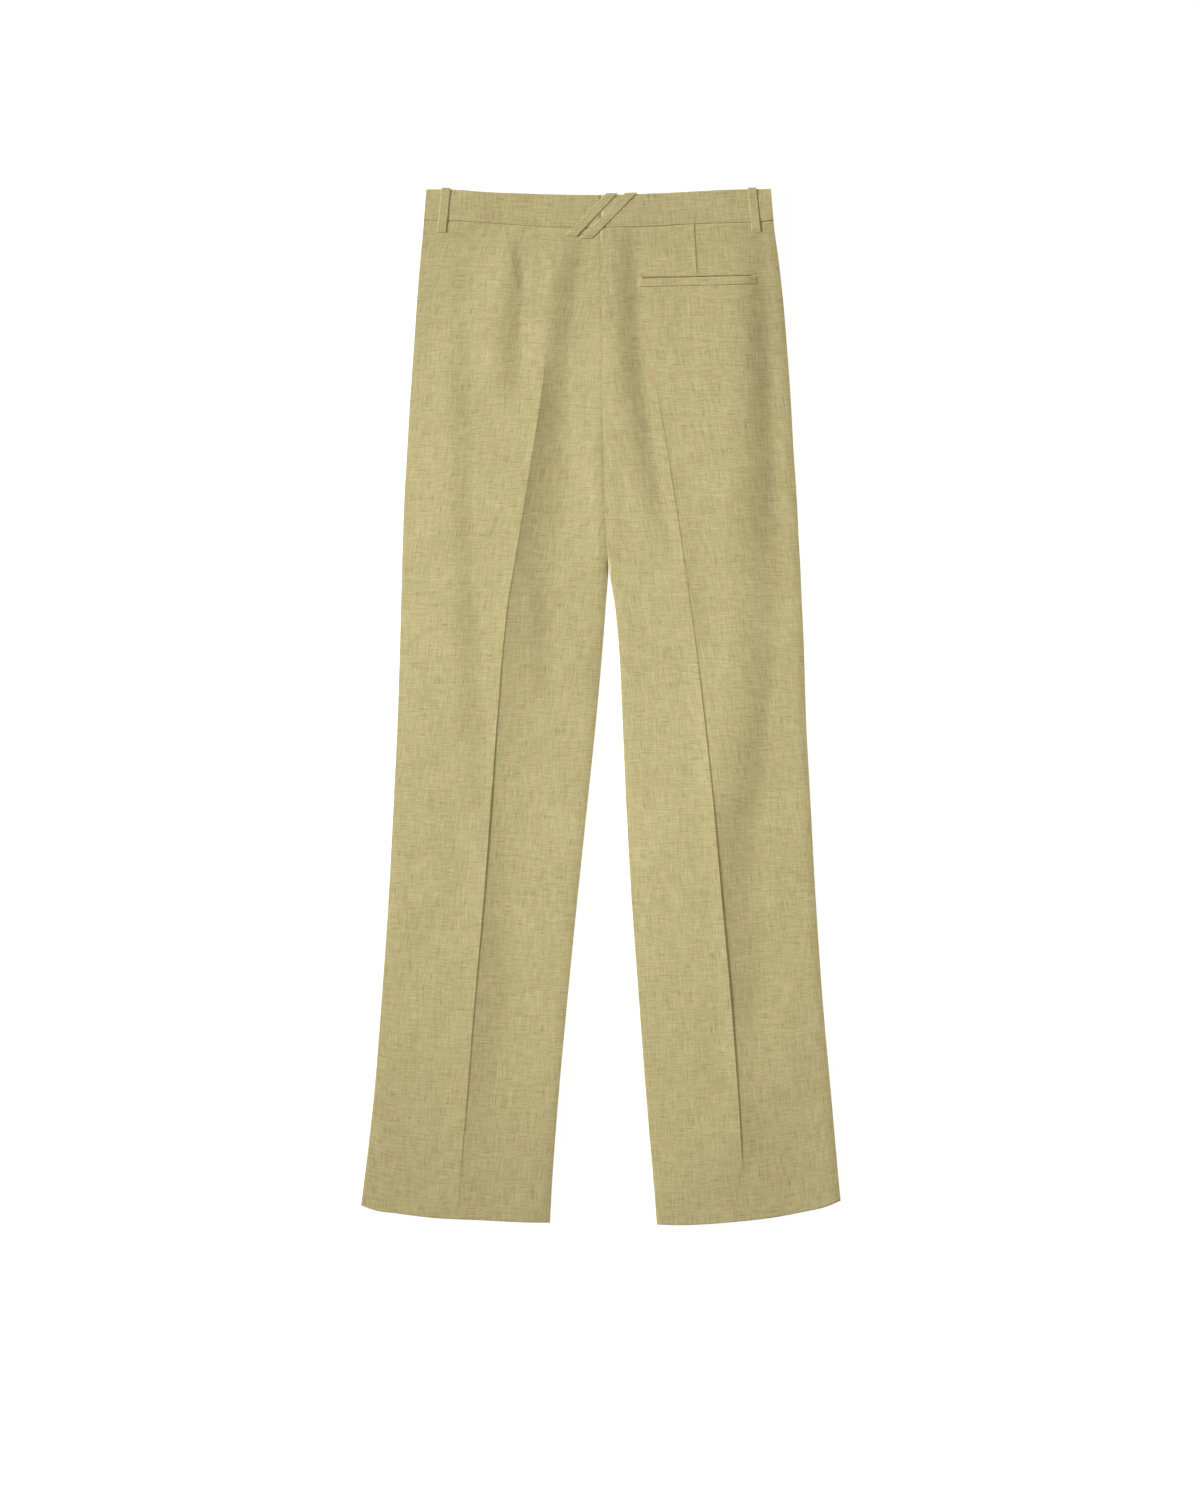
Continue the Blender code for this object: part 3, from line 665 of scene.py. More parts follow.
@dataclass
class Drape:
    """The heights of the cloth as the garment lies: its layers, its pressed creases and its folds."""

    legs: tuple[Leg, Leg]
    folds: tuple[Fold, ...] = BACK_FOLDS
    fades_in: Pair = (-0.1, 0.3)  # shares of a fold's length
    fades_out: Pair = (0.65, 1.0)
    waist_lift: float = LOOP_WALL + SEAM_GAP  # the front belt loops hold the front waistband off the ground
    lift_ends: Pair = (0.066, 0.150)
    band_layer_gap: float = 0.0009
    air: SmoothCurve = SmoothCurve(
        (0.034, 0.075, 0.120, 0.180, 0.250, 0.420, 1.100),
        (0.0026, 0.0019, 0.0017, 0.00165, 0.0010, 0.0009, 0.0009),
    )
    crease_power: float = 1.75
    lip_fall: float = 0.0018
    hollow_height: float = 0.0005
    hollow_width: float = 0.030
    hollows_begin: Pair = (0.20, 0.35)
    waves: int = 26
    wave_height: float = 0.000022
    wave_lengths: Pair = (0.035, 0.130)
    wave_stretch: float = 0.6  # below 1 makes the waves longer down the garment than across it
    seed: int = 11

    @property
    def band_height(self) -> float:
        """The height of the back waistband's outer face."""
        return self.waist_lift + 2 * BAND_WALL + self.band_layer_gap

    def lift(self, down: Value) -> Value:
        """Returns how far the front is held off the ground by the front belt loops."""
        return self.waist_lift * (1.0 - smoothstep(*self.lift_ends, down))

    def fold(self, fold: Fold, x: Array, down: Array) -> Array:
        """Works out what a soft fold adds to the height.

        It rises to the crest as a power of the share of the way, and falls on the right as half a cosine
        wave, whose share is raised to the power of the skew. It fades in and out along the crest.

        Args:
            fold: the fold's measures.
            x: the places across.
            down: the places down.

        Returns:
            The height that it adds at each place.
        """
        points = (fold.top, fold.middle, fold.bottom)
        levels = tuple(p[1] for p in points)
        across = x - SmoothCurve(levels, tuple(p[0] for p in points))(down)
        fall = SmoothCurve(levels, fold.falls)(down)
        rise = (1.0 - np.clip(-across / fold.rise, 0.0, 1.0)) ** RISE_POWER
        wave = 0.5 * (1.0 + np.cos(math.pi * np.clip(np.abs(across / fall) ** fold.skew, 0.0, 1.0)))
        fade = window((down - levels[0]) / (levels[2] - levels[0]), self.fades_in, self.fades_out)
        return fold.height * fade * np.where(across < 0, rise, wave)

    def crease_ridge(self, leg: Leg, x: Array, down: Array) -> Array:
        """Works out the ridge of a leg's pressed crease.

        On the left it is one less a power of the share of its width, and on the right a power of one less
        the share, steepest at the crest.

        Args:
            leg: the leg whose crease it is.
            x: the places across.
            down: the places down.

        Returns:
            The height that it adds at each place.
        """
        across = leg.from_crease(x, down)
        left = 1.0 - np.clip(-across / leg.ridge_reach, 0.0, 1.0) ** leg.ridge_crown
        right = (1.0 - np.clip(across / leg.pressed("fall", down), 0.0, 1.0)) ** self.crease_power
        return leg.pressed("ridge", down) * np.where(across < 0, left, right)

    def crease_lip(self, leg: Leg, x: Array, down: Array) -> Array:
        """Returns the sharp lip on a crease's crest."""
        return leg.pressed("lip", down) * lip(leg.from_crease(x, down), leg.lip_rise, self.lip_fall)

    def ripple(self, x: Array, down: Array) -> Array:
        """Returns the faint unevenness of cloth that lies: a sum of long plane waves in seeded directions."""
        draw = np.random.default_rng(self.seed)
        total = np.zeros(np.broadcast(x, down).shape)
        for _ in range(self.waves):
            angle, phase = draw.uniform(0.0, math.tau, 2)
            length = draw.uniform(*self.wave_lengths)
            along = x * math.cos(angle) + self.wave_stretch * down * math.sin(angle)
            total = total + self.wave_height * np.sin(math.tau * along / length + phase)
        return total

    def back(self, x: Array, down: Array) -> Array:
        """Returns the height of the back's outer face, away from its edges and without its sharp details."""
        height = self.lift(down) + 2 * LEG_WALL + self.air(down) + self.ripple(x, down)
        for leg in self.legs:
            height = height + self.crease_ridge(leg, x, down)
        for fold in self.folds:
            height = height + self.fold(fold, x, down)
        return height

    def front(self, x: Array, down: Array) -> Array:
        """Returns the height of the front's outer face, which faces down: flat but for the lift at the
        waist and a low parabola of a hollow on each side of the creases."""
        hollow = 0.0
        for leg in self.legs:
            share = np.clip(np.abs(leg.from_crease(x, down)) / self.hollow_width, 0.0, 1.0)
            hollow = hollow + 4.0 * share * (1.0 - share)
        return self.lift(down) + self.hollow_height * smoothstep(*self.hollows_begin, down) * hollow


@dataclass
class Tailor:
    """Makes cloth meshes, dresses them and hangs them on the frame."""

    cloth: bpy.types.Material
    thread: bpy.types.Material
    pattern_shift: float = 0.37
    pieces: dict[str, bpy.types.Object] = field(default_factory=dict)

    def shell(
        self, name: str, outer: Array, inner: Array, zero_column: int, turned: bool = False
    ) -> None:
        """Makes one closed piece of cloth from two grids of points, with a rim between their borders.

        Args:
            name: the piece's name.
            outer: the points that show, a row for each level down and a column for each place across.
            inner: the points of the hidden face, in the same order.
            zero_column: the column that the warp follows.
            turned: True where the warp runs across.
        """
        rows, columns = outer.shape[:2]
        index = np.arange(rows * columns).reshape(rows, columns)
        corners = [index[:-1, :-1], index[1:, :-1], index[1:, 1:], index[:-1, 1:]]
        faces = np.stack(corners, axis=-1).reshape(-1, 4)
        if np.mean(face_normals(outer)[..., 2] * (outer[..., 2] - inner[..., 2])) > 0:
            faces = faces[:, ::-1]
        hidden = faces[:, ::-1] + rows * columns
        ring = np.concatenate([index[:-1, 0], index[-1, :-1], index[:0:-1, -1], index[0, :0:-1]])
        following = np.roll(ring, -1)
        rim = np.stack([ring, following, following + rows * columns, ring + rows * columns], axis=-1)
        if (faces[0, 0], faces[0, 1]) == (index[0, 0], index[1, 0]):
            rim = rim[:, ::-1]
        every_face = np.concatenate([faces, hidden, rim])
        points = np.concatenate([outer.reshape(-1, 3), inner.reshape(-1, 3)])
        piece = self.object_of(name, points, every_face, self.cloth)
        shift = self.pattern_shift * len(self.pieces)
        uv = cloth_uv(outer, zero_column, turned, shift).reshape(-1, 2)
        layer = piece.data.uv_layers.new(name=CLOTH_UV)
        layer.data.foreach_set("uv", np.concatenate([uv, uv])[every_face.reshape(-1)].reshape(-1))

    def object_of(
        self, name: str, points: Array, faces: Array, material: bpy.types.Material
    ) -> bpy.types.Object:
        """Makes a smooth object at the origin from points and four-sided faces.

        Args:
            name: the object's name, to which cloth adds its own ending.
            points: a row of three numbers for each point.
            faces: a row of four point numbers for each face.
            material: its finish.

        Returns:
            The object, riding on the garment's body.
        """
        mesh = bpy.data.meshes.new(name)
        mesh.vertices.add(len(points))
        mesh.vertices.foreach_set("co", points.reshape(-1))
        mesh.loops.add(faces.size)
        mesh.loops.foreach_set("vertex_index", faces.reshape(-1))
        mesh.polygons.add(len(faces))
        mesh.polygons.foreach_set("loop_start", np.arange(0, faces.size, 4))
        mesh.update(calc_edges=True)
        mesh.validate()
        mesh.shade_smooth()
        mesh.materials.append(material)
        piece = new_object(f"{name}_cloth" if material is self.cloth else name, mesh)
        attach(piece, BODY)
        self.pieces[name] = piece
        LOG.info("%s: %d faces", name, len(faces))
        return piece


@dataclass
class LegPanel:
    """The back or the front of one leg, from the seam under the waistband to the hem."""

    leg: Leg
    waist: Waist
    drape: Drape
    wall: float = 0.0008
    top_row: float = 0.0425
    hem_row: float = 1.0859
    edge_steps: Floats = (0.0, 0.0003, 0.0007, 0.0012, 0.0020, 0.0032)
    runs: tuple[tuple[float, float, int], ...] = (  # of even rows: from, to and how many
        (0.0475, 0.0950, 22),
        (0.0950, 0.0988, 30),
        (0.0988, 0.1090, 20),
        (0.1090, 0.4300, 122),
    )
    last_run: tuple[float, int] = (0.4300, 200)
    above_hem: float = 0.0045  # where the last run ends
    waist_bend_until: float = 0.200
    hem_bend_from: float = 0.650

    def levels(self) -> Array:
        """Returns the rows' levels, as a column: close together at the two edges and by the pocket."""
        edge = np.array(self.edge_steps)
        runs = [np.linspace(*run, endpoint=False) for run in self.runs]
        last = np.linspace(self.last_run[0], self.hem_row - self.above_hem, self.last_run[1])
        return np.concatenate([self.top_row + edge, *runs, last, self.hem_row - edge[::-1]])[:, None]

    def bent(self, levels: Array, across: Array, layer: Layer) -> Array:
        """Bends level rows to the waist seam at their top and to the hem at their foot.

        Args:
            levels: the rows' levels, as a column.
            across: for each point, 0 at the side seam and 1 at the inner edge.
            layer: the layer whose waist it is.

        Returns:
            How far down each point lies.
        """
        at_waist = self.leg.x(across * self.leg.width(self.top_row), self.top_row)
        waist_bend = self.waist.seam(at_waist, layer) + SEWN_GAP - self.top_row
        waist_share = 1.0 - smoothstep(self.top_row, self.waist_bend_until, levels)
        hem_share = smoothstep(self.hem_bend_from, self.hem_row, levels)
        return levels + waist_share * waist_bend + hem_share * (self.leg.hem(across) - self.hem_row)

    def points(
        self, levels: Array, columns: int, from_outer_at: Callable[[Array], Array], layer: Layer
    ) -> tuple[Array, Array, Array]:
        """Works out the places of the grid. Across and down depend on each other, so they take turns.

        Args:
            levels: the rows' levels, as a column.
            columns: how many columns there are.
            from_outer_at: gives the columns' distances from the side seam at some distances down.
            layer: the layer whose waist it is.

        Returns:
            The distances from the side seam, the places across and the distances down.
        """
        down = np.repeat(levels, columns, axis=1)
        for _ in range(ROUNDS):
            from_outer = from_outer_at(down)
            down = self.bent(levels, from_outer / self.leg.width(down), layer)
        return from_outer, self.leg.x(from_outer, down), down


@dataclass
class BackLeg(LegPanel):
    """The back of one leg, which rolls down around the front at its edges. The dart's line is given as two
    places (out from the centre line, down); the wearer's right leg also has the slit of the pocket."""

    roll: float = 0.00025
    roll_steps: int = 8
    core_step: float = 0.00015
    by_the_edge: Floats = (0.0007, 0.007, 0.02)  # shares that keep the edge's turn from the panel
    sewn: Floats = (0.0, 0.00004, 0.0004, 0.0010, 0.0020, 0.0036, 0.0058, 0.0085)  # insets of its columns
    counts: tuple[int, ...] = (22, 12, 21, 17, 26)  # of columns, from each mark to the next
    crowding: float = 1.6  # how closely the columns crowd at the crease
    rim_height: float = 0.0003
    outer_drop: float = 0.0005
    inner_drop: float = 0.0005
    shoulder_width: float = 0.011
    crotch_closed: float = 0.384
    crotch_open: float = 0.412
    crease_band: float = 0.006
    dart: tuple[Pair, Pair] = ((0.0977, 0.0408), (0.1008, 0.0925))
    dart_depth: float = 0.00024
    dart_rise: float = 0.012
    dart_width: float = 0.0006
    dart_fade: float = 0.004
    past_dart: float = 0.02
    dart_bands: Pair = (0.003, 0.012)  # half the width of the close columns, at the dart and far below it
    band_widens: Pair = (0.100, 0.300)
    dart_leaves: Pair = (0.100, 0.260)  # where the close columns leave the dart's line
    slit: tuple[Pair, Pair] | None = None
    slit_depth: float = 0.0014
    slit_width: float = 0.00055
    slit_above: float = 0.0005
    slit_ends: tuple[Pair, Pair] = ((0.030, 0.050), (0.950, 0.980))  # shares of its length
    welt_seam: Pair = (0.0002, 0.0005)  # depth and width
    welt_seam_below: float = 0.0088
    welt_seam_ends: tuple[Pair, Pair] = ((-0.004, 0.012), (0.988, 1.004))
    seam_depth: float = 0.00040
    seam_width: float = 0.0010
    centre_depth: float = 0.0
    centre_width: float = 0.0014
    pucker_height: float = 0.00010
    pucker_length: float = 0.0105
    pucker_drift: float = 0.047  # the length over which the puckers' spacing varies
    pucker_swing: float = 2.0
    pucker_reach: float = 0.009
    puckers_begin: Pair = (0.0, 0.003)
    hem_fold: Pair = (0.0012, 0.0008)  # radius and drop
    sinks_through: float = 0.5  # the share of the wall past which the hidden face sinks too

    def dart_at(self, down: Array) -> Array:
        """Returns how far out the dart's line lies, which runs straight on a little past its lower end."""
        (x0, d0), (x1, d1) = self.dart
        return x0 + (x1 - x0) * (np.clip(down, d0, d1 + self.past_dart) - d0) / (d1 - d0)

    def columns(self, down: Array, opened: Array) -> Array:
        """Works out the columns, closest together at the edges, the dart and the crease.

        Between the two edges they lie at shares of the way from one mark to the next, each mark read at the
        point's own distance down.

        Args:
            down: the points' distances down, with the grid's full number of columns.
            opened: for each row, 0 where the inner edge is sewn to the other leg and 1 where it rolls.

        Returns:
            The distances from the side seam.
        """
        width = self.leg.width(down)
        crease = self.leg.outer(down) - self.leg.crease(down)
        dart_leaves = smoothstep(*self.dart_leaves, down)
        dart = mix(self.leg.outer(down) - self.dart_at(down), 0.5 * crease, dart_leaves)
        dart_band = mix(*self.dart_bands, smoothstep(*self.band_widens, down))
        rolled = self.roll * (1.0 - np.cos(right_angle(self.roll_steps)))
        inner = mix(np.array(self.sewn), rolled, opened)
        marks = np.stack(
            [
                np.full_like(width, self.roll),
                dart - dart_band,
                dart + dart_band,
                crease - self.crease_band,
                crease + self.crease_band,
                width - inner[:, -1:],
            ]
        )
        mark, share = self.column_shares
        column = self.roll_steps + np.arange(len(mark))
        before, after = marks[mark, :, column].T, marks[mark + 1, :, column].T
        places = width.copy()
        places[:, : self.roll_steps] = rolled
        places[:, column] = mix(before, after, share)
        places[:, -self.roll_steps :] -= inner[:, ::-1]
        return places

    @property
    def column_shares(self) -> tuple[Array, Array]:
        """For each column between the edges, the mark before it and its share of the way to the next. The
        shares crowd together at the crease."""
        even = [np.linspace(0.0, 1.0, count + 1)[1:] for count in self.counts]
        spread = 2.0 * even[3] - 1.0
        even[3] = 0.5 + 0.5 * np.sign(spread) * np.abs(spread) ** self.crowding
        even[0] = np.concatenate([self.by_the_edge, even[0]])
        even[4] = np.concatenate([even[4][:-1], 1.0 - np.array(self.by_the_edge)[::-1]])
        mark = np.repeat(np.arange(len(even)), [len(shares) for shares in even])
        return mark, np.concatenate(even)

    def detail(self, x: Array, down: Array, from_outer: Array, opened: Array) -> Array:
        """Works out the sharp details of the outer face: the crease's lip, the sinking of the seams at the
        waist, the centre and the dart, the puckers along the waist seam, the pocket's slit and the hem's
        rounded fold.

        Args:
            x: the places across.
            down: the places down.
            from_outer: the distances from the side seam.
            opened: for each row, 1 where the legs have parted.

        Returns:
            The height that they add.
        """
        height = self.drape.crease_lip(self.leg, x, down)
        below_waist = down - self.waist.seam(x)
        height = height + groove(below_waist, self.seam_depth, self.seam_width)
        drift = self.pucker_swing * np.sin(math.tau * x / self.pucker_drift)
        pucker = self.pucker_height * np.sin(math.tau * x / self.pucker_length + drift)
        fade = np.exp(-below_waist / self.pucker_reach) * smoothstep(*self.puckers_begin, below_waist)
        height = height + pucker * fade
        from_centre = self.leg.width(down) - from_outer
        height = height + (1.0 - opened) * groove(from_centre, self.centre_depth, self.centre_width)
        from_dart = x - self.leg.side.value * self.dart_at(down)
        dart_end = self.dart[1][1]
        length = 1.0 - smoothstep(dart_end - self.dart_fade, dart_end, down)
        height = height + self.dart_depth * length * lip(from_dart, self.dart_rise, self.dart_width)
        if self.slit:
            height = height + self.slit_height(x, down)
        edge = self.leg.hem(from_outer / self.leg.width(down)) - down
        return height + rounding(edge, *self.hem_fold)

    def slit_height(self, x: Array, down: Array) -> Array:
        """Returns the pocket's opening and the sunk seam around its welt, as narrow bell-shaped slits."""
        (x0, d0), (x1, d1) = self.slit
        share = (x - x0) / (x1 - x0)
        from_top = down - mix(d0, d1, share)
        opening = groove(from_top + self.slit_above, self.slit_depth, self.slit_width)
        seam = groove(from_top - self.welt_seam_below, *self.welt_seam)
        return window(share, *self.slit_ends) * opening + window(share, *self.welt_seam_ends) * seam

    def build(self, tailor: Tailor, name: str) -> None:
        """Makes the panel: the drape's height, less the shoulders near rolled edges, with the edges' columns
        turned down along a quarter of an ellipse to the rim.

        Args:
            tailor: what makes the cloth.
            name: the piece's name.
        """
        levels = self.levels()
        opened = smoothstep(self.crotch_closed, self.crotch_open, levels)
        steps = self.roll_steps
        count = len(self.column_shares[0]) + 2 * steps
        from_outer, x, down = self.points(levels, count, lambda at: self.columns(at, opened), Layer.BACK)
        inner_distance = self.leg.width(down) - from_outer
        z = self.drape.back(x, down)
        for distance, drop in ((from_outer, self.outer_drop), (inner_distance, opened * self.inner_drop)):
            z = z - drop * np.clip(1.0 - distance / self.shoulder_width, 0.0, 1.0) ** 2
        turn = np.sin(right_angle(steps))
        foot = self.drape.lift(down) + self.rim_height
        under = z - self.wall
        for face in (z, under):
            above = face - foot
            face[:, :steps] = foot[:, :steps] + above[:, steps - 1 : steps] * turn
            rolled = foot[:, -steps:] + above[:, -steps : -steps + 1] * turn[::-1]
            face[:, -steps:] = mix(face[:, -steps:], rolled, opened)
        core = self.wall + self.core_step * np.arange(steps)
        within = from_outer.copy()
        within[:, :steps] = core
        within[:, -steps:] -= opened * (core[::-1] - inner_distance[:, -steps:])
        sharp = self.detail(x, down, from_outer, opened)
        sharp *= np.clip(np.minimum(from_outer, mix(1.0, inner_distance, opened)) / self.roll, 0.0, 1.0)
        under = under + np.minimum(sharp + self.sinks_through * self.wall, 0.0)
        crease_column = steps + len(self.by_the_edge) + sum(self.counts[:3]) + self.counts[3] // 2
        inner = points_of(self.leg.x(within, down), down, under)
        tailor.shell(name, points_of(x, down, z + sharp), inner, crease_column)


@dataclass
class FrontLeg(LegPanel):
    """The front of one leg, which lies on the ground and ends just inside the back's rolled edges."""

    border: float = LEG_WALL + 0.0004
    crotch_closed: float = 0.355
    crotch_open: float = 0.392
    room: float = 0.0012
    room_ends: Pair = (0.350, 0.420)
    near: Floats = (0.0, 0.002, 0.006)  # shares of the width
    margin: float = 0.015
    even_columns: int = 60
    seam: Pair = (0.0003, 0.0011)  # depth and width
    sinks_through: float = 0.2  # the share of a seam's depth that the hidden face follows

    def build(self, tailor: Tailor, name: str) -> None:
        """Makes the panel: the drape's front height over evenly spaced columns, on every second row.

        Args:
            tailor: what makes the cloth.
            name: the piece's name.
        """
        levels = self.levels()[::2]
        levels[-1] = self.hem_row
        opened = smoothstep(self.crotch_closed, self.crotch_open, levels)
        spare = self.room * opened * (1.0 - smoothstep(*self.room_ends, levels))
        border = self.border * opened + spare
        shares = spaced(self.near, self.margin, self.even_columns, 1.0)

        def from_outer_at(down: Array) -> Array:
            """Returns the columns' distances from the side seam."""
            return mix(self.border, self.leg.width(down) - border, shares[None, :])

        _, x, down = self.points(levels, len(shares), from_outer_at, Layer.FRONT)
        z = self.drape.front(x, down)
        below_waist = down - self.waist.seam(x, Layer.FRONT)
        sunk = -groove(below_waist, *self.seam) - (1.0 - opened) * groove(np.abs(x), *self.seam)
        inner = points_of(x, down, z + self.wall + sunk * self.sinks_through)
        tailor.shell(name, points_of(x, down, z + sunk), inner, self.even_columns // 2)


@dataclass
class WaistbandPanel:
    """A quarter of the waistband: one side of its back or of its front."""

    leg: Leg
    waist: Waist
    drape: Drape
    layer: Layer
    wall: float = 0.0018
    roll: float = 0.0003
    roll_steps: int = 9
    border: float = BAND_WALL + 0.0009
    front_insets: Floats = (0.0, 0.0004, 0.0010)
    by_the_side: Floats = (0.0005, 0.003)  # shares of the way from the side to the centre
    by_the_centre: Floats = (0.9925, 0.9970, 0.9998, 1.0)
    even_columns: int = 90
    first_guess: Pair = (0.0019, 0.0344)  # how far down the two edges lie
    rim_height: float = 0.0003
    belly: float = 0.00025
    ripple_share: float = 0.8
    edge: float = 0.0010
    top_drop: float = 0.0009
    seam_drop: float = 0.0006
    centre_seam: Pair = (0.0005, 0.0009)  # depth and width
    core_step: float = 0.00015
    near: Floats = (0.0, 0.0003, 0.0007, 0.0012, 0.0020)
    margin: float = 0.0032
    even_rows: int = 18

    def build(self, tailor: Tailor, name: str) -> None:
        """Makes the band: a flat strip with a low belly between its rounded edges, which rolls down at the
        side on the back.

        Args:
            tailor: what makes the cloth.
            name: the piece's name.
        """
        back, outward = self.layer is Layer.BACK, self.layer.outward
        angles = right_angle(self.roll_steps)
        insets = self.roll * (1.0 - np.cos(angles)) if back else self.border + np.array(self.front_insets)
        steps = len(insets)
        even = np.linspace(0.0, 1.0, self.even_columns)[1:-1]
        shares = np.concatenate([self.by_the_side, even, self.by_the_centre])
        down = np.repeat(np.array(self.first_guess)[:, None], steps + len(shares), axis=1)
        for _ in range(ROUNDS):
            width = self.leg.width(down[:, steps:])
            places = np.concatenate([np.stack([insets, insets]), mix(insets[-1], width, shares)], axis=1)
            x = self.leg.x(places, down)
            down = np.stack([self.waist.top(x[0], self.layer), self.waist.seam(x[1], self.layer)])
        height = float(np.mean(down[1] - down[0]))
        from_top = spaced(self.near, self.margin, self.even_rows, height)[:, None]
        share = from_top / height
        x, down = mix(x[:1], x[1:], share), mix(down[:1], down[1:], share)
        z = np.full(x.shape, self.drape.band_height if back else self.drape.waist_lift)
        foot = self.drape.waist_lift + self.rim_height
        if back:
            ripple = self.ripple_share * self.drape.ripple(x, down)
            z = z + 4.0 * self.belly * share * (1.0 - share) + ripple
            z[:, :steps] = foot + (z[:, steps - 1 : steps] - foot) * np.sin(angles)
        edges = rounding(from_top, self.edge, self.top_drop)
        edges = edges + rounding(height - from_top, self.edge, self.seam_drop)
        flatness = np.ones_like(x)
        flatness[:, :steps] = np.linspace(0.0, 1.0, steps)
        outer = points_of(x, down, z + outward * (edges + groove(x, *self.centre_seam)) * flatness)
        inner = points_of(x, down, z - outward * self.wall)
        if back:
            inner[:, :steps, 2] = foot + (inner[:, steps - 1 : steps, 2] - foot) * np.sin(angles)
            core = self.wall + self.core_step * np.arange(steps)
            inner[:, :steps, 0] -= self.leg.side.value * (core - insets)
        tailor.shell(name, outer, inner, steps, turned=True)


@dataclass
class BeltLoop:
    """A belt loop: a folded strip that is sewn down below the waistband and turns over its top edge."""

    cut: LoopCut
    waist: Waist
    drape: Drape
    wall: float = 0.0004
    proud: float = 0.00050  # less than the solid's, as a pressed loop lies
    stand: float = SEAM_GAP + LOOP_WALL
    belly: float = 0.0001
    tail: float = 0.0019
    tail_shares: Floats = (0.4, 0.8, 1.0)
    turn_steps: int = 10
    end_radius: float = 0.0004
    end_drop: float = 0.0003
    edge_radius: float = 0.00012
    edge_drop: float = 0.0002
    near: Floats = (0.0, 0.005, 0.012, 0.022)  # shares of the way from the sewn end
    even_from: float = 0.04
    stations: int = 46
    settles_from: float = 0.9
    half_step: float = 0.0025  # half the length over which the loop climbs onto the waistband
    sags: float = 0.0006  # how far it may lie below its height on the waistband
    past_turn: int = 20  # the first row that is well clear of the turned end
    across: Floats = (0.0, 0.40, 0.72, 0.90, 0.955, 0.99, 1.0)

    def heights(self, x: Array, down: Array) -> Array:
        """Returns the cloth below the loop's middle line: the leg panel, then the waistband, with a soft
        step between them."""
        if self.cut.layer is Layer.FRONT:
            return np.full(x.shape, self.drape.waist_lift)
        band = self.drape.band_height
        on_band = 1.0 - smoothstep(-self.half_step, self.half_step, down - self.waist.seam(x))
        return np.maximum(mix(self.drape.back(x, down), band, on_band), band - self.sags)

    def path(self) -> tuple[Array, Array, Array]:
        """Works out the loop's middle line.

        It runs straight from the sewn end to the waist's top edge, standing off the cloth by a half sine,
        then turns over the edge along a quarter circle and ends in a short tail.

        Returns:
            Places across, down and up, from the sewn end on.
        """
        layer, outward = self.cut.layer, self.cut.layer.outward
        top_x, (sewn_x, sewn_down) = self.cut.top_x, self.cut.sewn
        top = float(self.waist.top(top_x, layer))
        share = np.concatenate([self.near, np.linspace(self.even_from, 1.0, self.stations)])
        x, down = mix(sewn_x, top_x, share), mix(sewn_down, top, share)
        belly = self.belly * np.sin(math.pi * share) if layer is Layer.BACK else 0.0 * share
        length = math.hypot(x[-1] - x[0], down[-1] - down[0])
        end = rounding(share * length, self.end_radius, self.end_drop)
        z = self.heights(x, down) + outward * (self.proud + belly + end)
        face = self.drape.band_height if layer is Layer.BACK else self.drape.waist_lift
        z = mix(z, face + outward * (self.proud + belly), smoothstep(self.settles_from, 1.0, share))
        slant = (top_x - sewn_x) / (sewn_down - top)
        angles = right_angle(self.turn_steps)[1:]
        past = np.concatenate([self.stand * np.sin(angles), np.full(len(self.tail_shares), self.stand)])
        tail = np.array(self.tail_shares) * self.tail
        x = np.concatenate([x, top_x + slant * past])
        down = np.concatenate([down, top - past])
        z = np.concatenate([z, face + outward * self.proud * np.cos(angles), face - outward * tail])
        return x, down, z

    def build(self, tailor: Tailor) -> None:
        """Makes the loop: its middle line carried across, with rows that slope as the waist does and long
        edges that are rounded off.

        Args:
            tailor: what makes the cloth.
        """
        path = np.stack(self.path(), axis=-1)[::-1]
        share = np.array([-place for place in self.across[:0:-1]] + list(self.across))
        across = share * self.cut.width / 2
        layer = self.cut.layer
        slope = self.waist.top(self.cut.top_x + across, layer) - self.waist.top(self.cut.top_x, layer)
        x = path[:, :1] + across
        smooth = points_of(x, path[:, 1:2] + slope, path[:, 2:] + np.zeros_like(x))
        normals = face_normals(smooth)
        normals = normals * np.sign(normals[self.past_turn :, :, 2:].mean()) * layer.outward
        edge = (1.0 - np.abs(share)) * self.cut.width / 2
        outer = smooth + normals * rounding(edge, self.edge_radius, self.edge_drop)[None, :, None]
        tailor.shell(self.cut.name, outer, smooth - normals * self.wall, len(self.across) - 1)


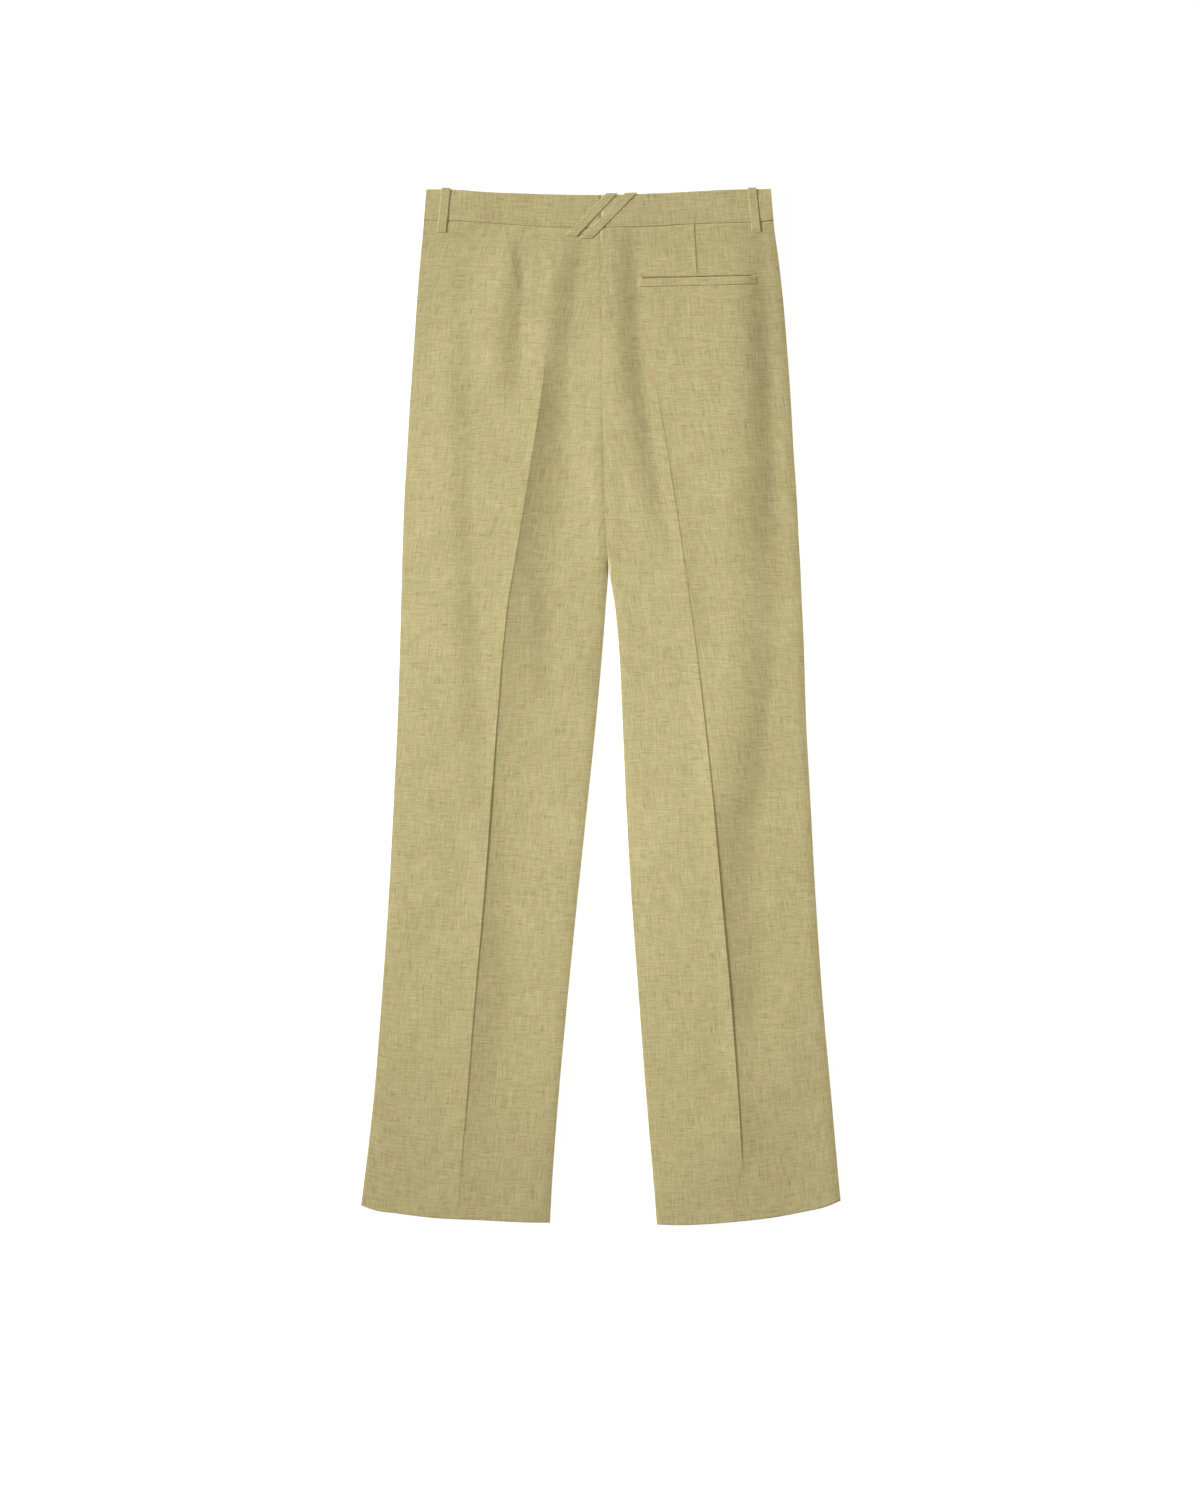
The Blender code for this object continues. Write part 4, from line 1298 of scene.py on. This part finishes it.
@dataclass
class PocketWelt:
    """The single welt of the wearer's right back pocket: a folded strip below the slit."""

    drape: Drape
    left: Pair = (0.0397, 0.0957)
    right: Pair = (0.1632, 0.0929)
    height: float = 0.0085
    proud: float = 0.00045
    wall: float = 0.0004
    sunk_end: float = 0.014  # the length of the outer end, which the side's cloth draws down
    sunk_share: float = 0.75
    near: Floats = (0.0, 0.0003, 0.0007, 0.0012)
    columns: tuple[float, int] = (0.003, 70)  # the even ones: their margin and how many
    rows: tuple[float, int] = (0.002, 7)
    top_edge: Pair = (0.0008, 0.0002)  # radius and drop
    foot_edge: Pair = (0.0010, 0.0003)
    end_edge: Pair = (0.0012, 0.0003)
    warp_column: int = 40

    @property
    def length(self) -> float:
        """The welt's length."""
        return self.right[0] - self.left[0]

    def stands(self, along: Array) -> Array:
        """Returns how far the welt stands out at some distances from its inner end."""
        sunk = smoothstep(self.length - self.sunk_end, self.length, along)
        return self.proud * (1.0 - self.sunk_share * sunk)

    def build(self, tailor: Tailor) -> None:
        """Makes the welt from the cloth's points below it, moved out, with all four edges rounded off.

        Args:
            tailor: what makes the cloth.
        """
        length = self.length
        along = spaced(self.near, *self.columns, length)
        from_top = spaced(self.near, *self.rows, self.height)[:, None]
        share = along / length
        x = mix(self.left[0], self.right[0], share) + 0.0 * from_top
        down = mix(self.left[1], self.right[1], share) + from_top
        z = self.drape.back(x, down) + self.stands(along)
        edges = rounding(from_top, *self.top_edge) + rounding(self.height - from_top, *self.foot_edge)
        edges = edges + rounding(np.minimum(along, length - along), *self.end_edge)
        inner = points_of(x, down, z - self.wall)
        tailor.shell("pocket_welt_right", points_of(x, down, z + edges), inner, self.warp_column, turned=True)


@dataclass
class FlyShield:
    """The fly shield, a strip inside the front that narrows in a curve at its foot."""

    drape: Drape
    from_x: float = 0.0040
    to_x: float = -0.0400
    top: float = 0.0560
    foot: float = 0.1780
    round_length: float = 0.0400
    foot_share: float = 0.2  # of the width, at the very foot
    wall: float = 0.0009
    rows: int = 50
    columns: int = 16

    def build(self, tailor: Tailor) -> None:
        """Makes the strip, whose width at the foot follows a quarter of an ellipse.

        Args:
            tailor: what makes the cloth.
        """
        down = np.linspace(self.top, self.foot, self.rows)[:, None]
        into = np.clip((down - self.foot + self.round_length) / self.round_length, 0.0, 1.0)
        share = mix(self.foot_share, 1.0, np.sqrt(1.0 - into**2))
        x = mix(mix(self.from_x, self.to_x, share), self.from_x, np.linspace(0.0, 1.0, self.columns))
        down = down + 0.0 * x
        z = self.drape.lift(down) + 2 * LEG_WALL + SEAM_GAP
        tailor.shell("fly_shield", points_of(x, down, z), points_of(x, down, z - self.wall), self.columns - 1)


@dataclass
class Stitching:
    """Rows of stitches: each stitch is a short thread with pointed ends, half sunk in the cloth."""

    tailor: Tailor
    radius: float = 0.00014
    sides: int = 6
    rings: int = 5
    point: float = 0.02  # the square of the share of the radius that is left at a stitch's ends
    caps: tuple[tuple[int, ...], ...] = ((0, 1, 2, 3), (0, 3, 4, 5))  # a six-sided end, as two faces
    loop_proud: float = 0.00045
    tack_half_share: float = 0.36  # of a loop's width
    tack_stitches: int = 9
    tack_span: Pair = (0.0014, 0.0026)  # above the loop's sewn end
    loop_top: float = 0.005  # how far down the top of a back loop lies, about
    welt_inset: float = 0.0008
    welt_stitches: int = 8
    welt_span: Pair = (-0.0006, 0.0009)
    welt_lifts: Pair = (0.25, 0.95)  # shares of the welt's height, on the panel and on the welt
    fly_top: float = 0.0562
    fly_turn_above_foot: float = 0.046
    fly_drop: float = 0.040
    fly_x: Pair = (-0.001, 0.035)  # where the row ends, and how far out it runs from there
    fly_straight_points: int = 40
    fly_turn_points: int = 14
    fly_proud: float = 0.00022
    fly_pitch: float = 0.0030
    fly_stitch: float = 0.0023

    def stitches(self, name: str, starts: Array, ends: Array) -> None:
        """Makes many stitches as one mesh.

        Each is rings around the line from its start to its end, whose radius is that of an ellipse.

        Args:
            name: the piece's name.
            starts: a row of three numbers for each stitch's start.
            ends: the same for its end.
        """
        along = (ends - starts)[:, None, None, :]
        direction = along / np.linalg.norm(along, axis=-1, keepdims=True)
        sideways = np.cross(direction, np.array([0.0, 0.0, 1.0]))
        sideways = sideways / np.maximum(np.linalg.norm(sideways, axis=-1, keepdims=True), TINY)
        upward = np.cross(sideways, direction)
        station = np.linspace(0.0, 1.0, self.rings)[None, :, None, None]
        radius = self.radius * np.sqrt(np.clip(1.0 - (2.0 * station - 1.0) ** 2, self.point, 1.0))
        angle = np.linspace(0.0, math.tau, self.sides, endpoint=False)[None, None, :, None]
        ring = radius * (np.cos(angle) * sideways + np.sin(angle) * upward)
        points = starts[:, None, None, :] + station * along + ring
        index = np.arange(points.size // 3).reshape(points.shape[:3])
        after = np.roll(index, -1, axis=2)
        walls = np.stack([index[:, :-1], after[:, :-1], after[:, 1:], index[:, 1:]], axis=-1).reshape(-1, 4)
        first = [index[:, 0][:, cap[::-1]] for cap in self.caps]
        last = [index[:, -1][:, cap] for cap in self.caps]
        faces = np.concatenate([walls, *first, *last])
        self.tailor.object_of(name, points.reshape(-1, 3), faces, self.tailor.thread)

    def bar_tacks(
        self, name: str, loops: tuple[LoopCut, ...], height: Callable[[Array, Array], Array]
    ) -> None:
        """Sews a close bar of stitches across the sewn end of each loop.

        Args:
            name: the piece's name.
            loops: the loops.
            height: gives the height of a loop's face at some places across and down.
        """
        lines = ([], [])
        share = np.linspace(-self.tack_half_share, self.tack_half_share, self.tack_stitches)
        for loop in loops:
            x = loop.sewn[0] + share * loop.width
            slant = (loop.top_x - loop.sewn[0]) / (loop.sewn[1] - self.loop_top)
            for rows, offset in zip(lines, self.tack_span):
                across = x + slant * offset
                down = np.full_like(x, loop.sewn[1] - offset)
                rows.append(points_of(across, down, height(across, down) + self.loop_proud))
        self.stitches(name, *map(np.concatenate, lines))

    def welt_ends(self, welt: PocketWelt) -> None:
        """Sews a short row of stitches across each end of the pocket welt.

        Args:
            welt: the welt.
        """
        lines = ([], [])
        place = np.linspace(self.welt_inset, welt.height - self.welt_inset, self.welt_stitches)
        for (x0, d0), inward in ((welt.left, 1.0), (welt.right, -1.0)):
            for rows, offset, share in zip(lines, self.welt_span, self.welt_lifts):
                x, down = np.full_like(place, x0 + inward * offset), d0 + place
                z = welt.drape.back(x, down) + share * welt.stands(x - welt.left[0])
                rows.append(points_of(x, down, z))
        self.stitches("welt_tacks", *map(np.concatenate, lines))

    def fly_row(self, shield: FlyShield) -> None:
        """Sews the curved row of the fly on the front: down beside the centre and in to it at the foot.

        Args:
            shield: the strip that the row holds.
        """
        turn_down = shield.foot - self.fly_turn_above_foot
        straight = np.linspace(self.fly_top, turn_down, self.fly_straight_points)
        turn = right_angle(self.fly_turn_points)[1:]
        end_x, out = self.fly_x
        x = np.concatenate([np.full_like(straight, end_x - out), end_x - out * np.cos(turn)])
        down = np.concatenate([straight, turn_down + self.fly_drop * np.sin(turn)])
        line = points_of(x, down, shield.drape.lift(down) + self.fly_proud)
        reached = np.concatenate([[0.0], np.cumsum(np.linalg.norm(np.diff(line, axis=0), axis=1))])
        begins = np.arange(0.0, reached[-1] - self.fly_pitch, self.fly_pitch)

        def at(distance: Array) -> Array:
            """Returns the points that lie that far along the line."""
            return np.stack([np.interp(distance, reached, line[:, k]) for k in range(3)], axis=-1)

        self.stitches("fly_stitches", at(begins), at(begins + self.fly_stitch))


@dataclass
class Studio:
    """A white sweep, a low soft key from the left, a softbox above the seat and the camera straight above."""

    floor_size: float = 60.0
    floor_drop: float = 0.0001
    floor_colour: Colour = (0.25, 0.25, 0.25, 1.0)
    floor_roughness: float = 0.9
    floor_glow: float = 0.90
    aim: Pair = (-0.0010, -0.0457)
    frame_height: float = 1.575
    lens_mm: float = 85.0
    sensor_mm: float = 36.0
    key_distance: float = 12.0
    key_elevation: float = 14.5
    key_turn: float = 14.0  # degrees from straight left towards the waist
    key_radius: float = 1.1
    key_power: float = 18250.0
    key_beam: float = 14.6
    key_aim: Pair = (0.0, 0.065)
    key_colour: tuple[float, float, float] = (0.955, 0.975, 1.0)
    top_place: tuple[float, float, float] = (0.0, 0.0, 2.0)
    top_size: float = 1.0
    top_power: float = 9.6
    top_colour: tuple[float, float, float] = (1.0, 0.97, 0.84)
    world: float = 0.175
    world_colour: Colour = (1.0, 0.96, 0.76, 1.0)

    def floor(self) -> None:
        """Lays the floor of matt white paper, which also glows a little, as on a light table."""
        half = self.floor_size / 2
        mesh = bpy.data.meshes.new("floor")
        corners = [(-half, -half), (half, -half), (half, half), (-half, half)]
        mesh.from_pydata([(x, y, -self.floor_drop) for x, y in corners], [], [(0, 1, 2, 3)])
        material, tree, shader = new_material("white_paper")
        finish = {
            "Base Color": self.floor_colour,
            "Roughness": self.floor_roughness,
            "Specular IOR Level": 0.0,
            "Emission Color": (1.0, 1.0, 1.0, 1.0),
            "Emission Strength": self.floor_glow,
        }
        fill(tree, shader, finish)
        mesh.materials.append(material)
        new_object("floor", mesh)

    def lamp(self, name: str, kind: str, place: object, **settings: object) -> bpy.types.Object:
        """Hangs a lamp.

        Args:
            name: its name.
            kind: Blender's name for its type.
            place: where it hangs.
            settings: the light's own properties.

        Returns:
            The lamp's object.
        """
        light = bpy.data.lights.new(name, kind)
        for setting, value in settings.items():
            setattr(light, setting, value)
        hung = new_object(name, light)
        hung.location = place
        return hung

    def lights(self) -> None:
        """Sets the key, the softbox and the even light of the room."""
        up, turn = math.radians(self.key_elevation), math.radians(self.key_turn)
        offset = np.array([-math.cos(up) * math.cos(turn), math.cos(up) * math.sin(turn), math.sin(up)])
        key = {
            "energy": self.key_power,
            "color": self.key_colour,
            "shadow_soft_size": self.key_radius,
            "spot_size": math.radians(self.key_beam),
            "spot_blend": 1.0,
        }
        lamp = self.lamp("key", "SPOT", np.array([*self.key_aim, 0.0]) + offset * self.key_distance, **key)
        lamp.rotation_euler = (math.pi / 2 - up, 0.0, -math.pi / 2 - turn)
        top = {"energy": self.top_power, "color": self.top_colour, "size": self.top_size}
        self.lamp("softbox", "AREA", self.top_place, **top).visible_camera = False

        world = bpy.data.worlds.new("room")
        world.use_nodes = True
        light = {"Color": self.world_colour, "Strength": self.world}
        fill(world.node_tree, world.node_tree.nodes["Background"], light)
        bpy.context.scene.world = world

    def camera(self) -> None:
        """Sets the camera straight above, at the distance where the frame has the photograph's height."""
        data = bpy.data.cameras.new("camera")
        data.sensor_fit = "VERTICAL"
        data.sensor_height = self.sensor_mm
        data.lens = self.lens_mm
        camera = new_object("camera", data)
        camera.location = (*self.aim, self.frame_height * self.lens_mm / self.sensor_mm)
        bpy.context.scene.camera = camera

    def build(self) -> None:
        """Makes the whole studio, with plain colours in place of a film look."""
        self.floor()
        self.lights()
        self.camera()
        bpy.context.scene.view_settings.view_transform = "Standard"


def main() -> None:
    """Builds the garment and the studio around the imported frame."""
    logging.basicConfig(level=logging.INFO, format="%(name)s: %(message)s")
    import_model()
    Studio().build()

    left = Leg(Side.LEFT, LEFT_SECTIONS, LEFT_PRESS, LEFT_HEM, **LEFT_CREASE)
    right = Leg(Side.RIGHT, RIGHT_SECTIONS, RIGHT_PRESS, RIGHT_HEM, **RIGHT_CREASE)
    waist = Waist()
    drape = Drape((left, right))
    tailor = Tailor(MelangeWool().material(), SewingThread().material())

    welt = PocketWelt(drape)
    for leg, details in ((left, LEFT_BACK), (right, {"slit": (welt.left, welt.right), **RIGHT_BACK})):
        side = leg.side.name.lower()
        BackLeg(leg, waist, drape, **details).build(tailor, f"back_leg_{side}")
        FrontLeg(leg, waist, drape).build(tailor, f"front_leg_{side}")
        for layer in Layer:
            WaistbandPanel(leg, waist, drape, layer).build(tailor, f"waistband_{layer.value}_{side}")
    welt.build(tailor)
    shield = FlyShield(drape)
    shield.build(tailor)
    loops = [BeltLoop(cut, waist, drape) for cut in BELT_LOOPS]
    for loop in loops:
        loop.build(tailor)

    for name, piece in tailor.pieces.items():
        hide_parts(name)

    sewing = Stitching(tailor)
    for side in ("left", "right"):
        cuts = tuple(loop for loop in BELT_LOOPS if loop.layer is Layer.BACK and side in loop.name)
        sewing.bar_tacks(f"bar_tacks_{side}", cuts, loops[0].heights)
    sewing.welt_ends(welt)
    sewing.fly_row(shield)


if __name__ == "__main__":
    main()
